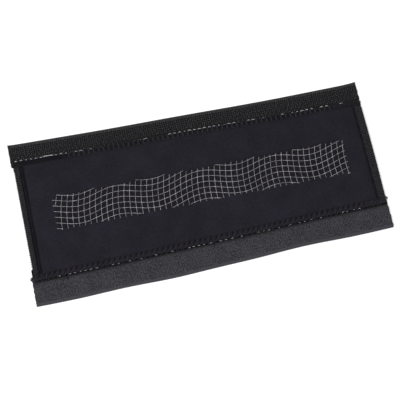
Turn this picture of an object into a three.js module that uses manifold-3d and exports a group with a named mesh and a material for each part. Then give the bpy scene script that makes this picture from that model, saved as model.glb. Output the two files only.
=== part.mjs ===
// Chainstay protector: a tapered neoprene panel that wraps round a bicycle's chainstay,
// with a hook tape sewn along one long edge and a loop tape along the other.
// Millimetres. X runs along the length with the wide end at -X, +Y points to the hook tape,
// and Z is up out of the printed face. The guard lies flat with its inner face on z = 0.
import * as THREE from "three";
import Module from "manifold-3d";

const wasm = await Module();
wasm.setup();
const { CrossSection, Manifold } = wasm;

// Overall plan sizes.
const LENGTH = 250;
const PANEL_WIDTH_WIDE = 88.2;
const UPPER_EDGE_TAPER = 5.4;
const LOWER_EDGE_TAPER = 4.0;
const PANEL_INSET_WIDE_END = 1.6;
const PANEL_INSET_NARROW_END = 0.4;

// The two fastening tapes, straight strips of constant width.
const HOOK_TAPE_WIDTH = 20;
const HOOK_TAPE_SHOWS_WIDE = 13.25;
const HOOK_TAPE_SHOWS_NARROW = 14.45;
const LOOP_TAPE_WIDTH = 25;
const LOOP_TAPE_SHOWS_WIDE = 15.65;
const LOOP_TAPE_SHOWS_NARROW = 16.05;
const HOOK_GROUND = 0.7;
const HOOK_HEIGHT = 1.2;
const HOOK_SELVEDGE = 1.4;
const HOOK_FIELD_GAP = 0.9;
const HOOK_FIELD_DRAFT = 0.2;
const LOOP_TAPE_THICKNESS = 1.7;
const LOOP_TAPE_PRESSED = 1.2;
const LOOP_TAPE_NOTCH = 0.9;
const LOOP_TAPE_STEP = 0.4;

// The foam panel and its sewn edges.
const FOAM_THICKNESS = 3.0;
const FOAM_PINCHED = 1.6;
const UPPER_BAND = 2.8;
const LOWER_BAND = 5.0;
const END_BAND = 5.4;
const EDGE_ROUND = 0.5;
const EDGE_DROP = 0.8;
const GROOVE_HALF_FLAT = 0.3;
const GROOVE_SLOPE = 0.3;
const GROOVE_DEPTH = 0.6;
const SHOULDER = 4.0;
const LAP_CLEARANCE = 0.4;
const LAP_RAMP = 2.75;

// Sewing threads, square in section here, and their stitch lengths.
const THREAD = 0.45;
const UPPER_STITCH = 3.5;
const LOWER_STITCH = 3.7;
const END_STITCH = 3.3;
const ZIGZAG_CLEARANCE = 0.03;
const THREAD_END_ROOM = 0.6;
const THREAD_SIDE_GAP = 0.08;
const SEAM_CROSSING_GAP = 0.3;

// The raised print: a net of strands whose long lines run in a wave.
const NET_HEIGHT = 25.4;
const NET_MARGIN_WIDE_END = 16.3;
const NET_MARGIN_NARROW_END = 14.0;
const NET_ABOVE_CENTRE = 0.4;
const NET_SLOPE = -0.006;
const NET_FILM = 0.15;
const STRAND = 0.55;
const ROW_SPACING = 4.15;
const ROW_START = -1.12;
const ROW_DRIFT = 0.031;
const WAVE = { height: 2.58, length: 55.9, crest: -0.6 };
const SWELL = { height: 0.88, length: 108.4, crest: 11.6 };
const CROSS_SPACING = 4.01;
const CROSS_START = -0.56;
const CROSS_LEAN = 0.13;
const CROSS_LEAN_FROM = 0.4;

// Plan lines that every piece shares.
const leftEnd = -LENGTH / 2;
const rightEnd = LENGTH / 2;
const panelLeft = leftEnd + PANEL_INSET_WIDE_END;
const panelRight = rightEnd - PANEL_INSET_NARROW_END;
const wideEndWidth = PANEL_WIDTH_WIDE + HOOK_TAPE_SHOWS_WIDE + LOOP_TAPE_SHOWS_WIDE;
const along = (x) => (x - leftEnd) / LENGTH;
const blend = (a, b, t) => a + (b - a) * t;
const upperEdge = (x) => wideEndWidth / 2 - HOOK_TAPE_SHOWS_WIDE - UPPER_EDGE_TAPER * along(x);
const lowerEdge = (x) => -wideEndWidth / 2 + LOOP_TAPE_SHOWS_WIDE + LOWER_EDGE_TAPER * along(x);
const hookOuter = (x) => upperEdge(x) + blend(HOOK_TAPE_SHOWS_WIDE, HOOK_TAPE_SHOWS_NARROW, along(x));
const loopOuter = (x) => lowerEdge(x) - blend(LOOP_TAPE_SHOWS_WIDE, LOOP_TAPE_SHOWS_NARROW, along(x));
const panelCentre = (x) => (upperEdge(x) + lowerEdge(x)) / 2;

// Heights of the pinched bands: each sits on the tape or thread that runs beneath it.
const upperBandTop = HOOK_GROUND + FOAM_PINCHED;
const lowerBandTop = LOOP_TAPE_PRESSED + FOAM_PINCHED;
const endBandBottom = THREAD;
const endBandTop = upperBandTop;
const hookLap = HOOK_TAPE_WIDTH - Math.min(HOOK_TAPE_SHOWS_WIDE, HOOK_TAPE_SHOWS_NARROW) + LAP_CLEARANCE;
const loopLap = LOOP_TAPE_WIDTH - Math.min(LOOP_TAPE_SHOWS_WIDE, LOOP_TAPE_SHOWS_NARROW) + LAP_CLEARANCE;
const grooveHalf = GROOVE_HALF_FLAT + GROOVE_SLOPE;

// Materials, one for each piece that looks different.
const cloth = (color, roughness) => new THREE.MeshStandardMaterial({ color, roughness, metalness: 0 });
const panelCloth = cloth(0x27262c, 0.9);
const hookCloth = cloth(0x262527, 0.85);
const loopCloth = cloth(0x3a3a3e, 0.95);
const blackThread = cloth(0x1d1c1f, 0.8);
const paleThread = cloth(0xcfcfd2, 0.7);
const printInk = cloth(0xb4b4b6, 0.55);

// Make a named mesh from corner points and triangles.
function solid(name, points, triangles, material) {
  const geometry = new THREE.BufferGeometry();
  geometry.setAttribute("position", new THREE.Float32BufferAttribute(points.flat(), 3));
  geometry.setIndex(triangles.flat());
  const flat = geometry.toNonIndexed();
  flat.computeVertexNormals();
  const mesh = new THREE.Mesh(flat, material);
  mesh.name = name;
  return mesh;
}

// Height at one place of a profile given as rising [place, height] pairs.
function profile(pairs, place) {
  for (let i = 1; i < pairs.length; i += 1) {
    const [a, za] = pairs[i - 1];
    const [b, zb] = pairs[i];
    if (place <= b) return place <= a ? za : blend(za, zb, (place - a) / (b - a));
  }
  return pairs[pairs.length - 1][1];
}

// The top of a sewn edge: rounded rim, pinched band, needle groove, then up to full foam.
function edgeProfile(bandTop, band) {
  return [
    [0, bandTop - EDGE_DROP],
    [EDGE_ROUND, bandTop],
    [band - grooveHalf, bandTop],
    [band - GROOVE_HALF_FLAT, bandTop - GROOVE_DEPTH],
    [band + GROOVE_HALF_FLAT, bandTop - GROOVE_DEPTH],
    [band + grooveHalf, bandTop],
    [band + grooveHalf + SHOULDER, FOAM_THICKNESS],
  ];
}

// The foam panel: one closed slab over a grid whose lines keep their distance to the edges.
function neoprenePanel() {
  const upperTop = edgeProfile(upperBandTop, UPPER_BAND);
  const lowerTop = edgeProfile(lowerBandTop, LOWER_BAND);
  const endTop = edgeProfile(endBandTop, END_BAND);
  const upperUnder = [[0, HOOK_GROUND], [hookLap, HOOK_GROUND], [hookLap + LAP_RAMP, 0]];
  const lowerUnder = [[0, LOOP_TAPE_PRESSED], [loopLap, LOOP_TAPE_PRESSED], [loopLap + LAP_RAMP, 0]];
  const endUnder = [[0, endBandBottom], [END_BAND + grooveHalf, endBandBottom],
    [END_BAND + grooveHalf + SHOULDER, 0]];
  const places = (...tables) => [...new Set(tables.flat().map(([place]) => Number(place.toFixed(6))))]
    .sort((a, b) => a - b);
  const endPlaces = places(endTop, endUnder);
  const upperPlaces = places(upperTop, upperUnder);
  const lowerPlaces = places(lowerTop, lowerUnder);
  const columns = [
    ...endPlaces.map((d) => ({ x: panelLeft + d, d })),
    ...endPlaces.map((d) => ({ x: panelRight - d, d })).reverse(),
  ];
  const rows = [
    ...lowerPlaces.map((s) => ({ s, upper: false })),
    ...upperPlaces.map((s) => ({ s, upper: true })).reverse(),
  ];
  const points = [];
  for (const side of ["top", "bottom"]) {
    for (const { x, d } of columns) {
      for (const { s, upper } of rows) {
        const y = upper ? upperEdge(x) - s : lowerEdge(x) + s;
        const band = upper ? UPPER_BAND : LOWER_BAND;
        let z;
        if (side === "top") {
          const long = profile(upper ? upperTop : lowerTop, s);
          if (s <= band + GROOVE_HALF_FLAT) z = d > 0 ? long : Math.min(long, profile(upper ? upperTop : lowerTop, 0));
          else z = Math.min(long, profile(endTop, d));
        } else {
          z = Math.max(profile(upper ? upperUnder : lowerUnder, s), profile(endUnder, d));
        }
        points.push([x, y, z]);
      }
    }
  }
  const n = rows.length;
  const m = columns.length;
  const at = (side, i, j) => side * n * m + i * n + j;
  const triangles = [];
  const quad = (a, b, c, d) => triangles.push([a, b, c], [a, c, d]);
  for (let i = 0; i + 1 < m; i += 1) {
    for (let j = 0; j + 1 < n; j += 1) {
      quad(at(0, i, j), at(0, i + 1, j), at(0, i + 1, j + 1), at(0, i, j + 1));
      quad(at(1, i, j), at(1, i, j + 1), at(1, i + 1, j + 1), at(1, i + 1, j));
    }
    quad(at(1, i, 0), at(1, i + 1, 0), at(0, i + 1, 0), at(0, i, 0));
    quad(at(0, i, n - 1), at(0, i + 1, n - 1), at(1, i + 1, n - 1), at(1, i, n - 1));
  }
  for (let j = 0; j + 1 < n; j += 1) {
    quad(at(1, 0, j), at(0, 0, j), at(0, 0, j + 1), at(1, 0, j + 1));
    quad(at(0, m - 1, j), at(1, m - 1, j), at(1, m - 1, j + 1), at(0, m - 1, j + 1));
  }
  return solid("neoprene_panel", points, triangles, panelCloth);
}

// A tape: one section in Y and Z at each end of its length, joined by straight sides.
// The section runs anticlockwise as seen from +X.
function tape(name, section, material) {
  const ends = [leftEnd, rightEnd].map((x) => section(x).map(([y, z]) => [x, y, z]));
  const n = ends[0].length;
  const outline = ends[0].map(([, y, z]) => new THREE.Vector2(y, z));
  const caps = THREE.ShapeUtils.triangulateShape(outline, []);
  const triangles = [];
  for (const [a, b, c] of caps) triangles.push([c, b, a], [n + a, n + b, n + c]);
  for (let k = 0; k < n; k += 1) {
    const next = (k + 1) % n;
    triangles.push([k, next, n + next], [k, n + next, n + k]);
  }
  return solid(name, ends.flat(), triangles, material);
}

// The hook tape lies hooks up. Its hooks stop short of the outer edge and of the sewn edge.
function hookTape() {
  const hookTop = HOOK_GROUND + HOOK_HEIGHT;
  const section = (x) => {
    const outer = hookOuter(x);
    const sewn = upperEdge(x) + HOOK_FIELD_GAP;
    return [
      [outer, 0],
      [outer, HOOK_GROUND],
      [outer - HOOK_SELVEDGE, HOOK_GROUND],
      [outer - HOOK_SELVEDGE - HOOK_FIELD_DRAFT, hookTop],
      [sewn + HOOK_FIELD_DRAFT, hookTop],
      [sewn, HOOK_GROUND],
      [outer - HOOK_TAPE_WIDTH, HOOK_GROUND],
      [outer - HOOK_TAPE_WIDTH, 0],
    ];
  };
  return tape("hook_tape", section, hookCloth);
}

// The loop tape lies pile down, pressed thinner where it laps under the panel.
function loopTape() {
  const section = (x) => {
    const outer = loopOuter(x);
    const sewn = lowerEdge(x) - LOOP_TAPE_NOTCH;
    return [
      [outer, 0],
      [outer + LOOP_TAPE_WIDTH, 0],
      [outer + LOOP_TAPE_WIDTH, LOOP_TAPE_PRESSED],
      [sewn, LOOP_TAPE_PRESSED],
      [sewn - LOOP_TAPE_STEP, LOOP_TAPE_THICKNESS],
      [outer, LOOP_TAPE_THICKNESS],
    ];
  };
  return tape("loop_tape", section, loopCloth);
}

// A thread laid along a path in plan, with mitred corners, from one height up by its thickness.
function thread(name, path, bottom, material) {
  const half = THREAD / 2;
  const unit = ([ax, ay], [bx, by]) => {
    const length = Math.hypot(bx - ax, by - ay);
    return [(bx - ax) / length, (by - ay) / length];
  };
  const points = [];
  path.forEach((p, i) => {
    const before = i > 0 ? unit(path[i - 1], p) : unit(p, path[i + 1]);
    const after = i + 1 < path.length ? unit(p, path[i + 1]) : before;
    const across = [-(before[1] + after[1]), before[0] + after[0]];
    const scale = half / (across[0] * -after[1] + across[1] * after[0]);
    const [ox, oy] = [across[0] * scale, across[1] * scale];
    for (const z of [bottom, bottom + THREAD]) {
      points.push([p[0] + ox, p[1] + oy, z], [p[0] - ox, p[1] - oy, z]);
    }
  });
  const triangles = [];
  const quad = (a, b, c, d) => triangles.push([a, b, c], [a, c, d]);
  for (let i = 0; i + 1 < path.length; i += 1) {
    const a = i * 4;
    const b = a + 4;
    quad(a, b, b + 1, a + 1);
    quad(a + 2, a + 3, b + 3, b + 2);
    quad(a, a + 2, b + 2, b);
    quad(a + 1, b + 1, b + 3, a + 3);
  }
  const last = (path.length - 1) * 4;
  quad(0, 1, 3, 2);
  quad(last, last + 2, last + 3, last + 1);
  return solid(name, points, triangles, material);
}

// A zigzag a whole number of stitches long, which swings across the flat top of a band. Its
// turns stay inside that flat by the reach of their mitred corners.
function zigzag(from, to, stitch, band, place) {
  const count = Math.max(2, Math.round(Math.abs(to - from) / stitch));
  const halfStitch = Math.abs(to - from) / (2 * count);
  const flat = band - grooveHalf - EDGE_ROUND - 2 * ZIGZAG_CLEARANCE;
  let corner = THREAD / 2;
  for (let step = 0; step < 20; step += 1) {
    const swing = Math.max(THREAD, flat - 2 * corner);
    corner = THREAD / 2 / Math.sin(Math.atan(halfStitch / swing));
  }
  const near = EDGE_ROUND + ZIGZAG_CLEARANCE + corner;
  const far = near + Math.max(THREAD, flat - 2 * corner);
  const path = [];
  for (let i = 0; i <= 2 * count; i += 1) {
    path.push(place(blend(from, to, i / (2 * count)), i % 2 ? far : near));
  }
  return path;
}

const threadFrom = panelLeft + THREAD_END_ROOM + THREAD;
const threadTo = panelRight - THREAD_END_ROOM - THREAD;

// The seam along one long edge: top looper, needle thread, and the under looper that shows
// as a pale line lying on the tape against the panel's rim.
function longSeam(name, edge, inward, band, stitch, bandTop, tapeTop) {
  const place = (x, s) => [x, edge(x) + inward * s];
  const looper = zigzag(threadFrom, threadTo, stitch, band, place);
  const needle = [place(threadFrom, band), place(threadTo, band)];
  const outside = -(THREAD / 2 + THREAD_SIDE_GAP);
  const under = [place(threadFrom, outside), place(threadTo, outside)];
  return [
    thread(`${name}_seam_top_looper`, looper, bandTop, blackThread),
    thread(`${name}_seam_needle_thread`, needle, bandTop - GROOVE_DEPTH, blackThread),
    thread(`${name}_seam_under_looper`, under, tapeTop, paleThread),
  ];
}

// The seam along one end, which stops at the needle lines of the two long seams. Its under
// looper lies beneath the pinched band, between the two laps.
function endSeam(name, end, inward) {
  const place = (y, d) => [end + inward * d, y];
  const inner = end + inward * END_BAND;
  const over = [lowerEdge(inner) + LOWER_BAND + grooveHalf + SEAM_CROSSING_GAP + THREAD,
    upperEdge(inner) - UPPER_BAND - grooveHalf - SEAM_CROSSING_GAP - THREAD];
  const below = [lowerEdge(inner) + loopLap + LAP_RAMP + SEAM_CROSSING_GAP,
    upperEdge(inner) - hookLap - LAP_RAMP - SEAM_CROSSING_GAP];
  return [
    thread(`${name}_seam_top_looper`, zigzag(over[0], over[1], END_STITCH, END_BAND, place),
      endBandTop, blackThread),
    thread(`${name}_seam_needle_thread`, [place(over[0], END_BAND), place(over[1], END_BAND)],
      endBandTop - GROOVE_DEPTH, blackThread),
    thread(`${name}_seam_under_looper`, zigzag(below[0], below[1], END_STITCH, END_BAND, place),
      endBandBottom - THREAD, blackThread),
  ];
}

// The four sides of a mesh of the net, moved inwards by half a strand.
function insetQuad(corners, inset) {
  const lines = corners.map((p, i) => {
    const q = corners[(i + 1) % corners.length];
    const length = Math.hypot(q[0] - p[0], q[1] - p[1]);
    const normal = [-(q[1] - p[1]) / length, (q[0] - p[0]) / length];
    return { normal, reach: normal[0] * p[0] + normal[1] * p[1] + inset };
  });
  return lines.map((b, i) => {
    const a = lines[(i + lines.length - 1) % lines.length];
    const det = a.normal[0] * b.normal[1] - a.normal[1] * b.normal[0];
    return [(a.reach * b.normal[1] - b.reach * a.normal[1]) / det,
      (b.reach * a.normal[0] - a.reach * b.normal[0]) / det];
  });
}

// The printed net: its strands are what is left of a rectangle when its meshes are cut out,
// so strands that meet the rectangle's edge end there in short stubs.
function printedNet() {
  const netLeft = panelLeft + END_BAND + NET_MARGIN_WIDE_END;
  const netRight = panelRight - END_BAND - NET_MARGIN_NARROW_END;
  const centre = (x) => panelCentre(0) + NET_ABOVE_CENTRE + NET_SLOPE * x;
  const swing = (wave, x) => wave.height * Math.cos((2 * Math.PI * (x - wave.crest)) / wave.length);
  const rowAt = (k, x) => ROW_START + k * ROW_SPACING + ROW_DRIFT * x + swing(WAVE, x) + swing(SWELL, x);
  const crossing = (i, k) => {
    let x = CROSS_START + i * CROSS_SPACING;
    for (let step = 0; step < 8; step += 1) {
      x = CROSS_START + i * CROSS_SPACING + CROSS_LEAN * (rowAt(k, x) - CROSS_LEAN_FROM);
    }
    return [x, centre(x) + rowAt(k, x)];
  };
  const reach = NET_HEIGHT / 2 + WAVE.height + SWELL.height + Math.abs(ROW_DRIFT) * LENGTH / 2;
  const rowCount = Math.ceil(reach / ROW_SPACING) + 1;
  const firstCross = Math.floor(netLeft / CROSS_SPACING) - 2;
  const lastCross = Math.ceil(netRight / CROSS_SPACING) + 2;
  const meshes = [];
  for (let i = firstCross; i < lastCross; i += 1) {
    for (let k = -rowCount; k < rowCount; k += 1) {
      const corners = [crossing(i, k), crossing(i + 1, k), crossing(i + 1, k + 1), crossing(i, k + 1)];
      meshes.push(insetQuad(corners, STRAND / 2));
    }
  }
  const half = NET_HEIGHT / 2;
  const frame = [
    [netLeft, centre(netLeft) - half],
    [netRight, centre(netRight) - half],
    [netRight, centre(netRight) + half],
    [netLeft, centre(netLeft) + half],
  ];
  const strands = new CrossSection([frame]).subtract(new CrossSection(meshes, "Positive"));
  const pieces = Manifold.extrude(strands, NET_FILM).translate([0, 0, FOAM_THICKNESS]).decompose();
  const net = pieces.reduce((a, b) => (b.volume() > a.volume() ? b : a));
  const mesh = net.getMesh();
  const points = [];
  for (let v = 0; v < mesh.numVert; v += 1) {
    points.push([...mesh.vertProperties.slice(v * mesh.numProp, v * mesh.numProp + 3)]);
  }
  const triangles = [];
  for (let t = 0; t < mesh.numTri; t += 1) triangles.push([...mesh.triVerts.slice(t * 3, t * 3 + 3)]);
  return solid("printed_net", points, triangles, printInk);
}

const group = new THREE.Group();
group.name = "chainstay_protector";
group.add(
  neoprenePanel(),
  hookTape(),
  loopTape(),
  ...longSeam("upper", upperEdge, -1, UPPER_BAND, UPPER_STITCH, upperBandTop, HOOK_GROUND),
  ...longSeam("lower", lowerEdge, 1, LOWER_BAND, LOWER_STITCH, lowerBandTop, LOOP_TAPE_PRESSED),
  ...endSeam("left", panelLeft, 1),
  ...endSeam("right", panelRight, -1),
  printedNet(),
);

export default group;
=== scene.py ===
"""A sewn chainstay protector, laid flat: foam panel, two fastening tapes, seams and print."""
import logging
import math
from dataclasses import dataclass, field
from enum import Enum
from typing import Callable, Sequence

import bmesh
import bpy
import numpy as np
from bpy.types import Material, Mesh, NodeSocket, Object
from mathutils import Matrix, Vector


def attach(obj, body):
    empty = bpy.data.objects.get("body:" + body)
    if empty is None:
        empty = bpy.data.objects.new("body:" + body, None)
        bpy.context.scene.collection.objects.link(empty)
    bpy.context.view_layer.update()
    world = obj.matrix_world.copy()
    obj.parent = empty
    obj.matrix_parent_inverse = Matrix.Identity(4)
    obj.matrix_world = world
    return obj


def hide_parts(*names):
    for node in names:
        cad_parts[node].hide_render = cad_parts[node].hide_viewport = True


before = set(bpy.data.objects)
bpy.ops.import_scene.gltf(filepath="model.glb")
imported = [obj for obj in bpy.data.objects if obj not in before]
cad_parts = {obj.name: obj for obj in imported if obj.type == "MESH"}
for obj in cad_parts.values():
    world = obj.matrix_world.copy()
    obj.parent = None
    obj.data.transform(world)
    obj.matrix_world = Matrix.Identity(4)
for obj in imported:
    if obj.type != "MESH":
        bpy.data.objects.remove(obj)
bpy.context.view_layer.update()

log = logging.getLogger("chainstay_protector")
MM = 0.001
BODY = "root"
Array = np.ndarray
Pair = tuple[float, float]
Triple = tuple[float, float, float]
Quad = tuple[float, float, float, float]
THREAD_SIDES = 6
# How much green a bluish grey loses, as a share of the blue that it gains.
LESS_GREEN = 0.35
# Points nearer to each other than this are merged, in millimetres.
MERGE = 0.0005
# What a base mesh carries into its geometry nodes, and a finished piece has no use for.
CARRIED = ("twist", "width", "turn")


class Side(Enum):
    """The four sewn edges of the panel."""

    UPPER = "upper"
    LOWER = "lower"
    LEFT = "left"
    RIGHT = "right"


def blend(a: float, b: float, t: Array) -> Array:
    """Return the value between a and b at t from 0 to 1."""
    return a + (b - a) * t


def ease(t: Array) -> Array:
    """Return t from 0 to 1 with soft ends."""
    t = np.clip(t, 0.0, 1.0)
    return t * t * (3.0 - 2.0 * t)


def onset(s: Array, start: float, over: float) -> Array:
    """Return 0 to 1 as s goes softly on from a start over a distance."""
    return ease((s - start) / over)


def lower_of(a: Array, b: Array, soft: float) -> Array:
    """Return the lower of two heights, rounded where they meet over a soft width."""
    return 0.5 * (a + b - np.sqrt((a - b) ** 2 + soft * soft))


def ridge(s: Array, middle: Array | float, reach: Array | float, square: int = 2) -> Array:
    """Return a bump of height 1, round for a square of 2 and flat-topped for 4."""
    return np.exp(-(((s - middle) / reach) ** square))


def waver(terms: Sequence[Triple], at: Array) -> Array:
    """Return an uneven line: the sum of sine waves by height, pace and start."""
    return sum(height * np.sin(pace * at + start) for height, pace, start in terms)


def swell(terms: Sequence[Quad], x: Array, y: Array) -> Array:
    """Return a face's slow waves, by height, length in x, length in y and start."""
    return sum(height * np.sin(x / in_x + y / in_y + start) for height, in_x, in_y, start in terms)


@dataclass(frozen=True)
class Plan:
    """Plan sizes that all pieces share, in millimetres, as the solids have them."""

    length: float = 250.0
    panel_width_wide: float = 88.2
    upper_taper: float = 5.4
    lower_taper: float = 4.0
    inset_wide_end: float = 1.6
    inset_narrow_end: float = 0.4
    hook_width: float = 20.0
    hook_shows_wide: float = 13.25
    hook_shows_narrow: float = 14.45
    loop_width: float = 25.0
    loop_shows_wide: float = 15.65
    loop_shows_narrow: float = 16.05
    hook_ground: float = 0.7
    hook_height: float = 1.2
    loop_thickness: float = 1.7
    loop_pressed: float = 1.2
    foam: float = 3.0
    pinched: float = 1.6
    upper_band: float = 2.8
    lower_band: float = 5.0
    end_band: float = 5.4
    thread: float = 0.45
    # How far the real edges stray from straight, as the heights of slow waves over the length.
    upper_seam_sway: Sequence[float] = (-0.1, 0.05, -0.05, 0.0, 0.2)
    lower_seam_sway: Sequence[float] = (-0.25, -0.2, 0.2, 0.0, 0.0, 0.1)
    hook_edge_sway: Sequence[float] = (-0.82, 0.35, 0.35, -0.05, 0.2)
    loop_edge_sway: Sequence[float] = (-1.05, -0.55, 0.25, 0.35, -0.3)
    loop_edge_ripple: float = 0.2
    loop_ripple_length: float = 62.0
    # How far each tape's outer edge turns up at the wide and at the narrow end.
    hook_corner_lift: Pair = (0.45, 0.945)
    loop_corner_lift: Pair = (0.36, 0.09)
    corner_reach: float = 5.0
    # How far the laps of the tapes reach under the panel at its ends, where they are cut back.
    lap_at_ends: float = 3.6
    lap_inset: float = 0.6
    # How the panel's two ends lie, and how far in from an end that reaches.
    wide_end_in: float = 0.02
    wide_end_lean: float = 0.006
    narrow_end_in: float = 0.1
    narrow_end_bow: float = 0.35
    bow_middle: float = 5.0
    bow_half_length: float = 70.0
    ends_reach: float = 8.0

    @property
    def panel_left(self) -> float:
        """The panel's wide end."""
        return -self.length / 2 + self.inset_wide_end

    @property
    def panel_right(self) -> float:
        """The panel's narrow end."""
        return self.length / 2 - self.inset_narrow_end

    @property
    def half_width(self) -> float:
        """Half the width over all at the wide end."""
        return (self.panel_width_wide + self.hook_shows_wide + self.loop_shows_wide) / 2

    def along(self, x: Array) -> Array:
        """Return how far along the length x is, from 0 to 1."""
        return (x + self.length / 2) / self.length

    def sway(self, terms: Sequence[float], x: Array) -> Array:
        """Return the sum of slow waves at x, of which the first is constant."""
        return sum(h * np.cos(math.pi * k * self.along(x)) for k, h in enumerate(terms))

    def straight_upper(self, x: Array) -> Array:
        """Return the panel's upper edge as the solids have it."""
        return self.half_width - self.hook_shows_wide - self.upper_taper * self.along(x)

    def straight_lower(self, x: Array) -> Array:
        """Return the panel's lower edge as the solids have it."""
        return -self.half_width + self.loop_shows_wide + self.lower_taper * self.along(x)

    def upper_edge(self, x: Array) -> Array:
        """Return the panel's upper edge with its sway."""
        return self.straight_upper(x) + self.sway(self.upper_seam_sway, x)

    def lower_edge(self, x: Array) -> Array:
        """Return the panel's lower edge with its sway."""
        return self.straight_lower(x) + self.sway(self.lower_seam_sway, x)

    def corner(self, lifts: Pair, x: Array) -> Array:
        """Return how far a tape's outer edge turns up at its wide and narrow ends."""
        towards_end = np.exp((np.abs(x) - self.length / 2) / self.corner_reach)
        return blend(*lifts, self.along(x)) * towards_end

    def straight_hook_edge(self, x: Array) -> Array:
        """Return the hook tape's outer edge as the solids have it."""
        shows = blend(self.hook_shows_wide, self.hook_shows_narrow, self.along(x))
        return self.straight_upper(x) + shows

    def straight_loop_edge(self, x: Array) -> Array:
        """Return the loop tape's outer edge as the solids have it."""
        shows = blend(self.loop_shows_wide, self.loop_shows_narrow, self.along(x))
        return self.straight_lower(x) - shows

    def hook_outer(self, x: Array) -> Array:
        """Return the hook tape's outer edge."""
        stray = self.sway(self.hook_edge_sway, x) + self.corner(self.hook_corner_lift, x)
        return self.straight_hook_edge(x) + stray

    def loop_outer(self, x: Array) -> Array:
        """Return the loop tape's outer edge."""
        ripple = self.loop_edge_ripple * np.cos(2 * math.pi * x / self.loop_ripple_length)
        stray = self.sway(self.loop_edge_sway, x) + self.corner(self.loop_corner_lift, x)
        return self.straight_loop_edge(x) + stray + ripple

    def cut_back(self, x: Array, hidden: Array) -> None:
        """Draw in the two ends of a tape's grid where it lies under the panel."""
        x[0] = np.where(hidden[0], self.panel_left + self.lap_inset, x[0])
        x[-1] = np.where(hidden[-1], self.panel_right - self.lap_inset, x[-1])

    def settle(self, points: Array) -> Array:
        """Return points of the panel with its two ends slightly bowed, as they lie.

        Args:
            points: Rows of x, y and z, or a grid of them.

        Returns:
            The moved points.
        """
        x, y = points[..., 0], points[..., 1]
        bow = np.cos(math.pi * (y - self.bow_middle) / self.bow_half_length)
        wide = self.wide_end_in - self.wide_end_lean * y
        narrow = self.narrow_end_bow * bow - self.narrow_end_in
        wide = wide * np.exp(-np.abs(x - self.panel_left) / self.ends_reach)
        narrow = narrow * np.exp(-np.abs(self.panel_right - x) / self.ends_reach)
        moved = points.copy()
        moved[..., 0] = x + wide + narrow
        return moved


# Shader building

Value = "Wire | float | tuple"


def operation(kind: str, turned: bool = False) -> Callable[..., "Wire"]:
    """Return a method of Wire that adds one Math node.

    Args:
        kind: The node's operation.
        turned: Whether the wire comes after the other value.

    Returns:
        The method.
    """

    def method(self: "Wire", other: Value = 0.0) -> "Wire":
        """Return what the operation gives for the wire and another value."""
        first, second = (other, self) if turned else (self, other)
        return self.shop.node("ShaderNodeMath", {"operation": kind}, {0: first, 1: second})

    return method


class Wire:
    """A shader socket that takes part in Python arithmetic."""

    __add__ = operation("ADD")
    __radd__ = operation("ADD", turned=True)
    __sub__ = operation("SUBTRACT")
    __rsub__ = operation("SUBTRACT", turned=True)
    __mul__ = operation("MULTIPLY")
    __rmul__ = operation("MULTIPLY", turned=True)
    __truediv__ = operation("DIVIDE")
    sine = operation("SINE")
    size = operation("ABSOLUTE")
    most = operation("MAXIMUM")
    least = operation("MINIMUM")

    def __init__(self, shop: "Shop", socket: NodeSocket) -> None:
        """Keep the socket and the shop that it belongs to."""
        self.shop = shop
        self.socket = socket

    def over(self, low: float, high: float) -> "Wire":
        """Return 0 to 1 as the value goes softly from low to high."""
        return self.shop.node(
            "ShaderNodeMapRange",
            {"interpolation_type": "SMOOTHSTEP"},
            {"Value": self, "From Min": low, "From Max": high},
        )


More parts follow.
